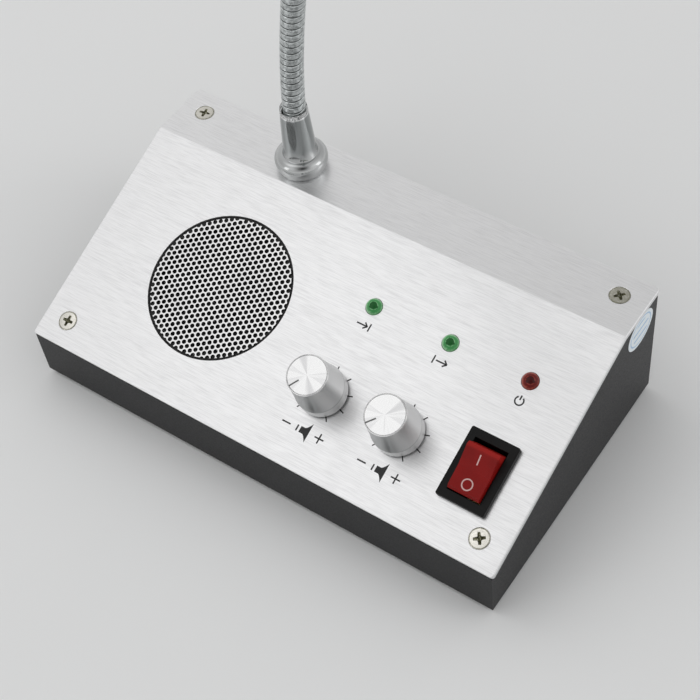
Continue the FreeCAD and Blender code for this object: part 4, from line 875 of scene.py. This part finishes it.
marks = []
for side in ("in", "out"):
    centre = onPanel(hinges[f"knob_{side}_body"])
    for points, faces in ticks() + [shifted(grid, 0, -volumeSign["drop"]) for grid in volumeMarks()]:
        marks.append((placed(points, centre), faces))
for side in lampTints:
    centre = lampCentre(side, lampShape["up"] - lampSign["drop"])
    for points, faces in lampMarks(side):
        marks.append((placed(points, centre), faces))
printed = meshPiece("panelMarks", *joined(marks), smooth=False)
finished(printed, plastic("blackInk", ink["colour"], 0.45), "base")

# how the rocker stands at rest, in degrees and mm, and where its signs lie on its two facets
rockerMark = {"rest": 13.0, "facet": 8.0, "fold": 4.3, "ring": 1.51, "ringOut": 3.9, "from": 1.9, "to": 4.9,
              "line": 0.37, "colour": (0.62, 0.4, 0.38)}


def onFacet(grid, side):
    # from a flat grid to the facet above the fold (side 1) or below it (side -1), at rest
    rest, tilt = np.radians(rockerMark["rest"]), np.radians(rockerMark["rest"] + side * rockerMark["facet"])
    fold = rockerMark["fold"] * np.array([0, -np.sin(rest), np.cos(rest)])
    turn = np.array([[1, 0, 0], [0, np.cos(tilt), np.sin(tilt)], [0, -np.sin(tilt), np.cos(tilt)]])
    return placed(fold + grid[0] @ turn, rockerPivot), grid[1]


ringSign = arc(0, -rockerMark["ringOut"], rockerMark["ring"], rockerMark["line"], 0, 360, 60)
strokeSign = bar(0, rockerMark["from"], 0, rockerMark["to"], rockerMark["line"])
signs = [onFacet(ringSign, -1), onFacet(strokeSign, 1)]
rockerSigns = meshPiece("rockerMarks", *joined(signs), smooth=False)
finished(rockerSigns, plastic("markWhite", rockerMark["colour"], 0.5), "rocker_body")
print("marks printed")


sticker = {"back": 9.4, "up": 37.8, "long": 6.9, "tall": 6.2, "thick": 0.1, "sunk": 0.02, "segments": 96,
           "paper": (0.78, 0.84, 0.88), "print": (0.2, 0.42, 0.68), "strength": 0.7}


def stickerGrid():
    # an oval: x = long cos a, y = tall sin a, with a low edge all round
    angle = np.arange(sticker["segments"]) / sticker["segments"] * 2 * np.pi
    low, high = -sticker["sunk"], sticker["thick"]
    profile = softened([(0, low, 0), (1.0, low, 0), (1.0, high, 0.01), (0, high, 0)])
    share, height = profile[:, :1], profile[:, 1:]
    points = np.stack([share * np.cos(angle) * sticker["long"], share * np.sin(angle) * sticker["tall"],
                       height + 0 * angle], -1)
    return points, gridFaces(len(profile), sticker["segments"], False, True)


def stickerPaper(centre):
    # pale paper with a thin blue ring and soft blue bars
    finish = Finish("stickerPaper")
    spot = finish.place((1, 1, 1), centre)
    across = finish.along(spot, (0, 1 / (sticker["long"] * mm), 0))
    up = finish.along(spot, (0, 0, 1 / (sticker["tall"] * mm)))
    radius = (across * across + up * up) ** 0.5
    ring = finish.step(radius, 0.76, 0.79) * (1 - finish.step(radius, 0.83, 0.86))
    bars = finish.step(finish.wave("SINE", up * 14.0), 0.55, 0.75) * (1 - finish.step(radius, 0.6, 0.66))
    colour = finish.mixed((ring + bars) * sticker["strength"], sticker["paper"], sticker["print"])
    return finish.shader(colour, 0.4)


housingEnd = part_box("housing_tub")[1]
stickerSpot = np.array([housingEnd.x, housingEnd.y - sticker["back"] * mm, sticker["up"] * mm])
sideBasis = np.array([[0, 1.0, 0], [0, 0, 1.0], [1.0, 0, 0]])
points, faces = stickerGrid()
label = meshPiece("sideSticker", placed(points, stickerSpot, sideBasis), faces)
finished(label, stickerPaper(stickerSpot), "base")
print("sticker laid")


floorLook = {"colour": (0.83, 0.835, 0.835), "half": 4.0}
half = floorLook["half"]
corners = np.array([[-half, -half, 0], [half, -half, 0], [half, half, 0], [-half, half, 0]])
floorMesh = bpy.data.meshes.new("floor")
floorMesh.from_pydata(corners.tolist(), [], [(0, 1, 2, 3)])
floor = bpy.data.objects.new("floor", floorMesh)
bpy.context.scene.collection.objects.link(floor)
floorFinish = Finish("floorPaper")
floor.data.materials.append(floorFinish.shader(wear(floorFinish, floorLook["colour"], 0.01, 6.0), 0.7))

room = {"level": 0.615, "horizon": 0.84}
# brighter and darker parts of the room: direction, sharpness, and what it adds to the level
lobes = [((-0.36, -0.17, 0.917), 36.0, 0.78), ((0.4, -0.45, 0.8), 11.0, -0.66),
         ((-0.8, 0.34, 0.5), 10.0, 0.14), ((-0.2, -0.72, 0.68), 14.0, 0.4),
         ((0.74, 0.12, 0.66), 8.0, 0.5), ((-0.44, 0.53, 0.72), 30.0, 0.12),
         ((-0.22, 0.58, 0.78), 60.0, -0.16)]


def roomLight():
    # an even pale room, each part of it added as amount e^(sharpness (cos a - 1)), a from its direction
    world = bpy.data.worlds.new("room")
    world.use_nodes = True
    bpy.context.scene.world = world
    finish = Finish("room", world.node_tree)
    heading = finish.node("ShaderNodeTexCoord", output="Generated")
    level = finish.step(finish.along(heading, (0, 0, 1)), 0.0, 0.5, room["horizon"], room["level"])
    for direction, sharpness, amount in lobes:
        size = np.linalg.norm(direction)
        nearness = finish.along(heading, [share / size for share in direction])
        part = finish.node("ShaderNodeMath", {"operation": "EXPONENT"}, {0: (nearness - 1.0) * sharpness})
        level = level + part * amount
    light = finish.node("ShaderNodeBackground", {}, {"Strength": level, "Color": (1, 1, 1, 1)})
    finish.node("ShaderNodeOutputWorld", {}, {"Surface": light}, None)


roomLight()


# soft boxes: place, aim, width, height, brightness, and whether polished metal shows it
softBoxes = {"keyBox": ((-0.85, -0.1, 1.05), (0, 0, 0.03), 0.9, 0.9, 0.6, False),
             "sideBox": ((1.1, 0.5, 0.6), (0, 0, 0.05), 0.4, 0.7, 0.9, True),
             "frontBox": ((-0.6, -1.0, 0.5), (0, 0, 0.05), 0.35, 0.6, 0.9, True)}


def softBox(name, place, aim, width, height, level, mirrored):
    # level is the panel's own brightness, so its power is level x area x pi
    data = bpy.data.lights.new(name, "AREA")
    data.shape, data.size, data.size_y = "RECTANGLE", width, height
    data.energy = level * width * height * np.pi
    lamp = bpy.data.objects.new(name, data)
    lamp.location = place
    lamp.rotation_euler = (Vector(aim) - Vector(place)).to_track_quat("-Z", "Y").to_euler()
    bpy.context.scene.collection.objects.link(lamp)
    lamp.visible_camera = False
    lamp.visible_glossy = mirrored


for name, box in softBoxes.items():
    softBox(name, *box)
print("room lit")

# the camera's place in mm, its turn in degrees, and its shift as a share of the picture's width
lensData = {"place": (189.04, -211.84, 381.56), "turn": (36.6354, 4.8977, 34.262), "lens": 80.668,
            "sensor": 36.0, "shift": (-0.0093, 0.0276)}
cameraData = bpy.data.cameras.new("camera")
camera = bpy.data.objects.new("camera", cameraData)
camera.location = Vector(lensData["place"]) * mm
camera.rotation_euler = Euler([np.radians(part) for part in lensData["turn"]])
cameraData.sensor_width = lensData["sensor"]
cameraData.lens = lensData["lens"]
cameraData.shift_x, cameraData.shift_y = lensData["shift"]
cameraData.clip_start, cameraData.clip_end = 0.02, 20.0
bpy.context.scene.collection.objects.link(camera)
bpy.context.scene.camera = camera
bpy.context.scene.view_settings.view_transform = "Standard"
print("camera set")
